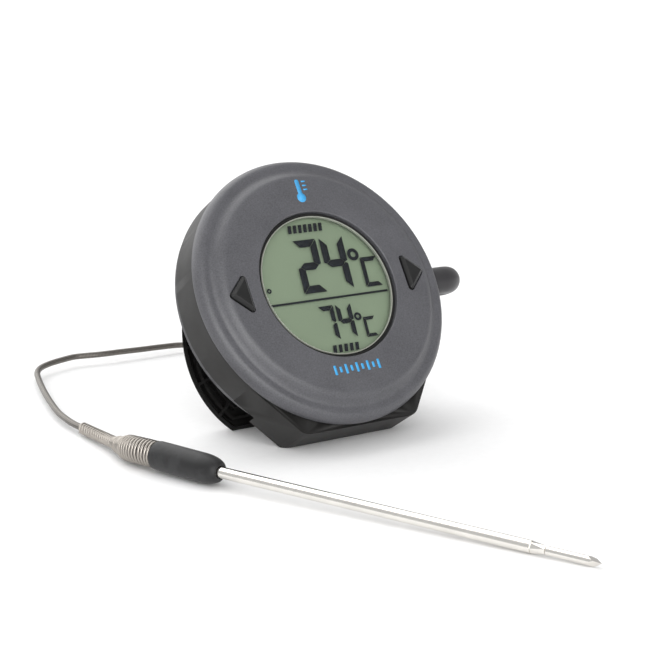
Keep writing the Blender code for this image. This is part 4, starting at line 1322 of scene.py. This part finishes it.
class OBJECT_OT_thermometer_plug(bpy.types.Operator):
    """The right-angled plug's boot and its pin"""

    bl_idname = "object.thermometer_plug"
    bl_label = "Plug"

    def execute(self, context):
        points = spaced(plug_path(), 0.5)
        last = len(points) - 1
        radii = [boot_radius(i / last) for i in range(last + 1)]
        overmould = silicone_rubber(
            "Grey overmoulded boot", context.scene.thermometer_colours.boot, 0.42, 0.05, 5.0
        )
        piece(
            "plug_overmould",
            shaded(swept(points, radii, 48), 50),
            HOUSING,
            "probe_assembly",
            "plug_boot",
            overmould,
            "plug_boot",
        )
        refinish(nickel_plate("Nickel-plated plug pin"), "plug_pin")
        return {"FINISHED"}


class OBJECT_OT_thermometer_cable(bpy.types.Operator):
    """The braided cable, with its slack wound in a small coil and held by a tie"""

    bl_idname = "object.thermometer_cable"
    bl_label = "Braided Cable"

    def execute(self, context):
        sizes = context.scene.thermometer_sizes
        points = cable_line()
        braid = woven_steel("Woven stainless braid", sizes.cable_diameter, sizes.braid_pitch)
        mesh = swept(points, [sizes.cable_diameter / 2] * len(points), 14)
        cable = piece(
            "braided_cable",
            mesh,
            TABLE,
            "probe_assembly",
            "cable",
            braid,
            "cable_plug_end",
            "cable_coil",
            "cable_probe_end",
        )
        tie = piece("cable_tie", self.tie(), TABLE, "probe_assembly", "black_part", self.strap())
        exit_point = HOUSING @ plug_path()[-1]
        return {"FINISHED"}

    def strap(self):
        return glass_filled_nylon("Black nylon tie", linear("1E1E1F"))

    def tie(self):
        """A flat nylon strap round the coil's bundle of turns, with its locking head on top."""
        angle = math.radians(250)
        outwards = Vector((math.cos(angle), math.sin(angle), 0.0))
        sideways = Vector((-math.sin(angle), math.cos(angle), 0.0))
        height = LAYER_STEP * (COIL_LAYERS - 1) + 2 * LYING
        low, high = Vector((COIL_INNER - 1.15, 0.05)), Vector((COIL_OUTER + 1.15, height + 0.1))
        inside = rounded_corners(rectangle(*low, *high), [1.1] * 4, 6)
        wall = 0.5  # the strap's thickness
        around = rectangle(low.x - wall, low.y, high.x + wall, high.y + wall)
        outside = rounded_corners(around, [0.4, 0.4, 1.6, 1.6], 6)
        rings = []
        for outline, across in ((inside, -1.2), (outside, -1.2), (outside, 1.2), (inside, 1.2)):
            middle = Vector((*COIL_MIDDLE, 0.0)) + sideways * across
            rings.append([middle + outwards * r + Vector((0, 0, z)) for r, z in outline])
        head = box((-2.0, -2.0, 0.0), (2.0, 2.0, 2.2))
        place = Vector((*COIL_MIDDLE, high.y - 0.3)) + outwards * 12.0
        head.transform(Matrix.Translation(place) @ Matrix.Rotation(angle, 4, "Z"))
        return carved(loft(rings, endless=True), grown(head), 0.15, 40, 2)


def spring_radius(part):
    """The spring's outer radius, this part of the way from the cable to the sleeve."""
    place = part * (len(SPRING_RADII) - 1)
    low = min(int(place), len(SPRING_RADII) - 2)
    return SPRING_RADII[low] + (SPRING_RADII[low + 1] - SPRING_RADII[low]) * eased(place - low)


class OBJECT_OT_thermometer_probe(bpy.types.Operator):
    """The probe: its strain spring, rubber sleeve, steel shaft and tip"""

    bl_idname = "object.thermometer_probe"
    bl_label = "Probe"

    def execute(self, context):
        sizes = context.scene.thermometer_sizes
        wire = drawn_stainless("Drawn spring wire", colour=linear("A7A19A"), roughness=0.3)
        piece(
            "strain_coil",
            self.spring(sizes.spring_turns, sizes.wire_diameter / 2),
            TABLE,
            "probe_assembly",
            "probe_steel",
            wire,
            "strain_spring",
        )
        # The sleeve's strong lighter patches are painted sheen.
        rubber = silicone_rubber(
            "Black silicone sleeve", context.scene.thermometer_colours.sleeve, 0.5, 0.4, 4.5
        )
        piece(
            "probe_sleeve", self.sleeve(), TABLE, "probe_assembly", "handle_sleeve", rubber, "handle_sleeve"
        )
        piece(
            "spring_core",
            self.core(sizes.wire_diameter / 2),
            TABLE,
            "probe_assembly",
            "handle_sleeve",
            rubber,
        )
        axis = (SHAFT_TIP - SLEEVE_FRONT).normalized()
        refinish(
            drawn_stainless("Polished stainless shaft", axis, linear("E9E6E1"), 0.14),
            "probe_shaft",
            "probe_tip",
        )
        return {"FINISHED"}

    def spring(self, turns, wire):
        """A spring that opens from the cable's width to the sleeve's, wound closer as it widens.

        Its turns lie a little more open than the real ones, so that they show.
        """
        line = spaced(curved(SPRING_ROUTE, 12), 0.1)
        places = along_line(line)
        steps = 22  # points for each turn
        count = turns * steps
        points = []
        for i in range(count + 1):
            part = i / count
            point, _, side, up = places[round(part * (len(places) - 1))]
            angle = 2 * math.pi * turns * (0.8 * part + 0.2 * part**2)
            reach = spring_radius(part) - wire
            points.append(point + reach * (side * math.cos(angle) + up * math.sin(angle)))
        return swept(points, [wire] * len(points), 8)

    def core(self, wire):
        """The sleeve's own rubber inside the spring's wide end, which shows dark between the turns."""
        line = spaced(curved(SPRING_ROUTE, 12), 0.5)
        first = len(line) // 2
        radii = [spring_radius(i / (len(line) - 1)) - 1.5 * wire for i in range(first, len(line))]
        return shaded(swept(line[first:], radii, 32))

    def sleeve(self):
        """The sleeve, turned: a square rear shoulder and a long rounded nose with the shaft's hole in it."""
        total = (SLEEVE_FRONT - SLEEVE_REAR).length
        nose = 6.6
        profile = [(1.2, 0.1), (3.6, 0.1), (3.95, 0.25), (SLEEVE_RADIUS - 0.04, 0.7), (SLEEVE_RADIUS, 2.5)]
        for i in range(1, 25):
            turn = math.pi / 2 * i / 24
            radius = 1.95 + (SLEEVE_RADIUS - 1.95) * math.cos(turn) ** 0.9
            profile.append((radius, total - nose + nose * math.sin(turn)))
        profile += [(1.72, total - 0.2), (1.66, total - 7.0), (1.2, total - 7.0)]
        mesh = turned(profile, 96, closed=True)
        mesh.transform(
            Matrix.Translation(SLEEVE_REAR) @ (
                SLEEVE_FRONT - SLEEVE_REAR
            ).to_track_quat("Z", "Y").to_matrix().to_4x4()
        )
        return shaded(mesh, 50)


# --- Stage ---


class OBJECT_OT_thermometer_stage(bpy.types.Operator):
    """The studio: a white paper floor, soft light and the camera"""

    bl_idname = "object.thermometer_stage"
    bl_label = "Stage"

    def execute(self, context):
        stage = context.scene.thermometer_stage
        side = stage.floor_side
        sheet = mesh_from(lambda bm: bmesh.ops.create_grid(bm, x_segments=8, y_segments=8, size=side / 2))
        sheet.materials.append(seamless_paper("White seamless paper"))
        floor = bpy.data.objects.new("floor", sheet)
        floor.location = (0.0, 0.0, -0.0001)
        context.scene.collection.objects.link(floor)
        self.sky(context, stage.sky_strength)
        for name, place, strength, width in LAMPS:
            self.lamp(context, name, place, strength * stage.key_strength, width)
        self.camera(context)
        context.scene.view_settings.view_transform = "Standard"
        return {"FINISHED"}

    def sky(self, context, strength):
        """A soft surround: a little brighter above and behind, dimmer where the display reflects it."""
        world = bpy.data.worlds.new("studio")
        context.scene.world = world
        world.use_nodes = True
        tree = world.node_tree
        way = add(tree, "ShaderNodeTexCoord").outputs["Generated"]
        way = add(
            tree,
            "ShaderNodeVectorMath",
            {0: way, 1: Vector(SKY_BRIGHTEST).normalized()},
            operation="DOT_PRODUCT",
        )
        ramp = add(tree, "ShaderNodeValToRGB", {"Fac": way.outputs["Value"]})
        ramp.color_ramp.elements[0].position = 0.0
        ramp.color_ramp.elements[0].color = (*[SKY_DIM] * 3, 1.0)
        ramp.color_ramp.elements[1].position = 0.8
        ramp.color_ramp.elements[1].color = (1.0, 1.0, 1.0, 1.0)
        ground = tree.nodes["Background"]
        ground.inputs["Strength"].default_value = strength
        tree.links.new(ramp.outputs["Color"], ground.inputs["Color"])

    def lamp(self, context, name, place, strength, width):
        """A wide soft light, as from a big far softbox."""
        data = bpy.data.lights.new(name, "SUN")
        data.energy = strength
        data.angle = math.radians(width)
        made = bpy.data.objects.new(name, data)
        made.rotation_euler = Vector(place).to_track_quat("Z", "Y").to_euler()
        context.scene.collection.objects.link(made)

    def camera(self, context):
        data = bpy.data.cameras.new("camera")
        data.lens = CAMERA_LENS
        data.sensor_width = SENSOR
        data.clip_start, data.clip_end = 0.01, 50.0
        azimuth, drop, roll = (math.radians(a) for a in (CAMERA_AZIMUTH, CAMERA_DROP, CAMERA_ROLL))
        ahead = Vector(
            (math.sin(azimuth) * math.cos(drop), math.cos(azimuth) * math.cos(drop), -math.sin(drop))
        )
        right = Vector((math.cos(azimuth), -math.sin(azimuth), 0.0))
        up = right.cross(ahead)
        turned_right = right * math.cos(roll) + up * math.sin(roll)
        turned_up = up * math.cos(roll) - right * math.sin(roll)
        made = bpy.data.objects.new("camera", data)
        turn = Matrix((turned_right, turned_up, -ahead)).transposed()
        made.matrix_world = Matrix.Translation(CAMERA_AT) @ turn.to_4x4()
        context.scene.collection.objects.link(made)
        context.scene.camera = made


# --- Panel and registration ---

STEPS = (
    OBJECT_OT_thermometer_stage,
    OBJECT_OT_thermometer_probe,
    OBJECT_OT_thermometer_plug,
    OBJECT_OT_thermometer_cable,
    OBJECT_OT_thermometer_shell,
    OBJECT_OT_thermometer_window,
    OBJECT_OT_thermometer_display,
    OBJECT_OT_thermometer_buttons,
    OBJECT_OT_thermometer_band,
    OBJECT_OT_thermometer_cover,
    OBJECT_OT_thermometer_stand,
    OBJECT_OT_thermometer_inside,
)
SETTINGS = {
    "thermometer_sizes": ThermometerSizes,
    "thermometer_colours": ThermometerColours,
    "thermometer_stage": ThermometerStage,
}


class VIEW3D_PT_thermometer(bpy.types.Panel):
    """Lists the settings and the pieces"""

    bl_label = "Meat Thermometer"
    bl_space_type = "VIEW_3D"
    bl_region_type = "UI"
    bl_category = "Thermometer"

    def draw(self, context):
        for word in SETTINGS:
            group = getattr(context.scene, word)
            column = self.layout.box().column()
            for name in group.__annotations__:
                column.prop(group, name)
        for step in STEPS:
            self.layout.operator(step.bl_idname)


def register():
    for kind in (*SETTINGS.values(), *STEPS, VIEW3D_PT_thermometer):
        bpy.utils.register_class(kind)
    for word, kind in SETTINGS.items():
        setattr(bpy.types.Scene, word, PointerProperty(type=kind))


def unregister():
    for word in SETTINGS:
        delattr(bpy.types.Scene, word)
    for kind in reversed((*SETTINGS.values(), *STEPS, VIEW3D_PT_thermometer)):
        bpy.utils.unregister_class(kind)


def main():
    register()
    for step in STEPS:
        group, name = step.bl_idname.split(".")
        getattr(getattr(bpy.ops, group), name)()


if __name__ == "__main__":
    main()
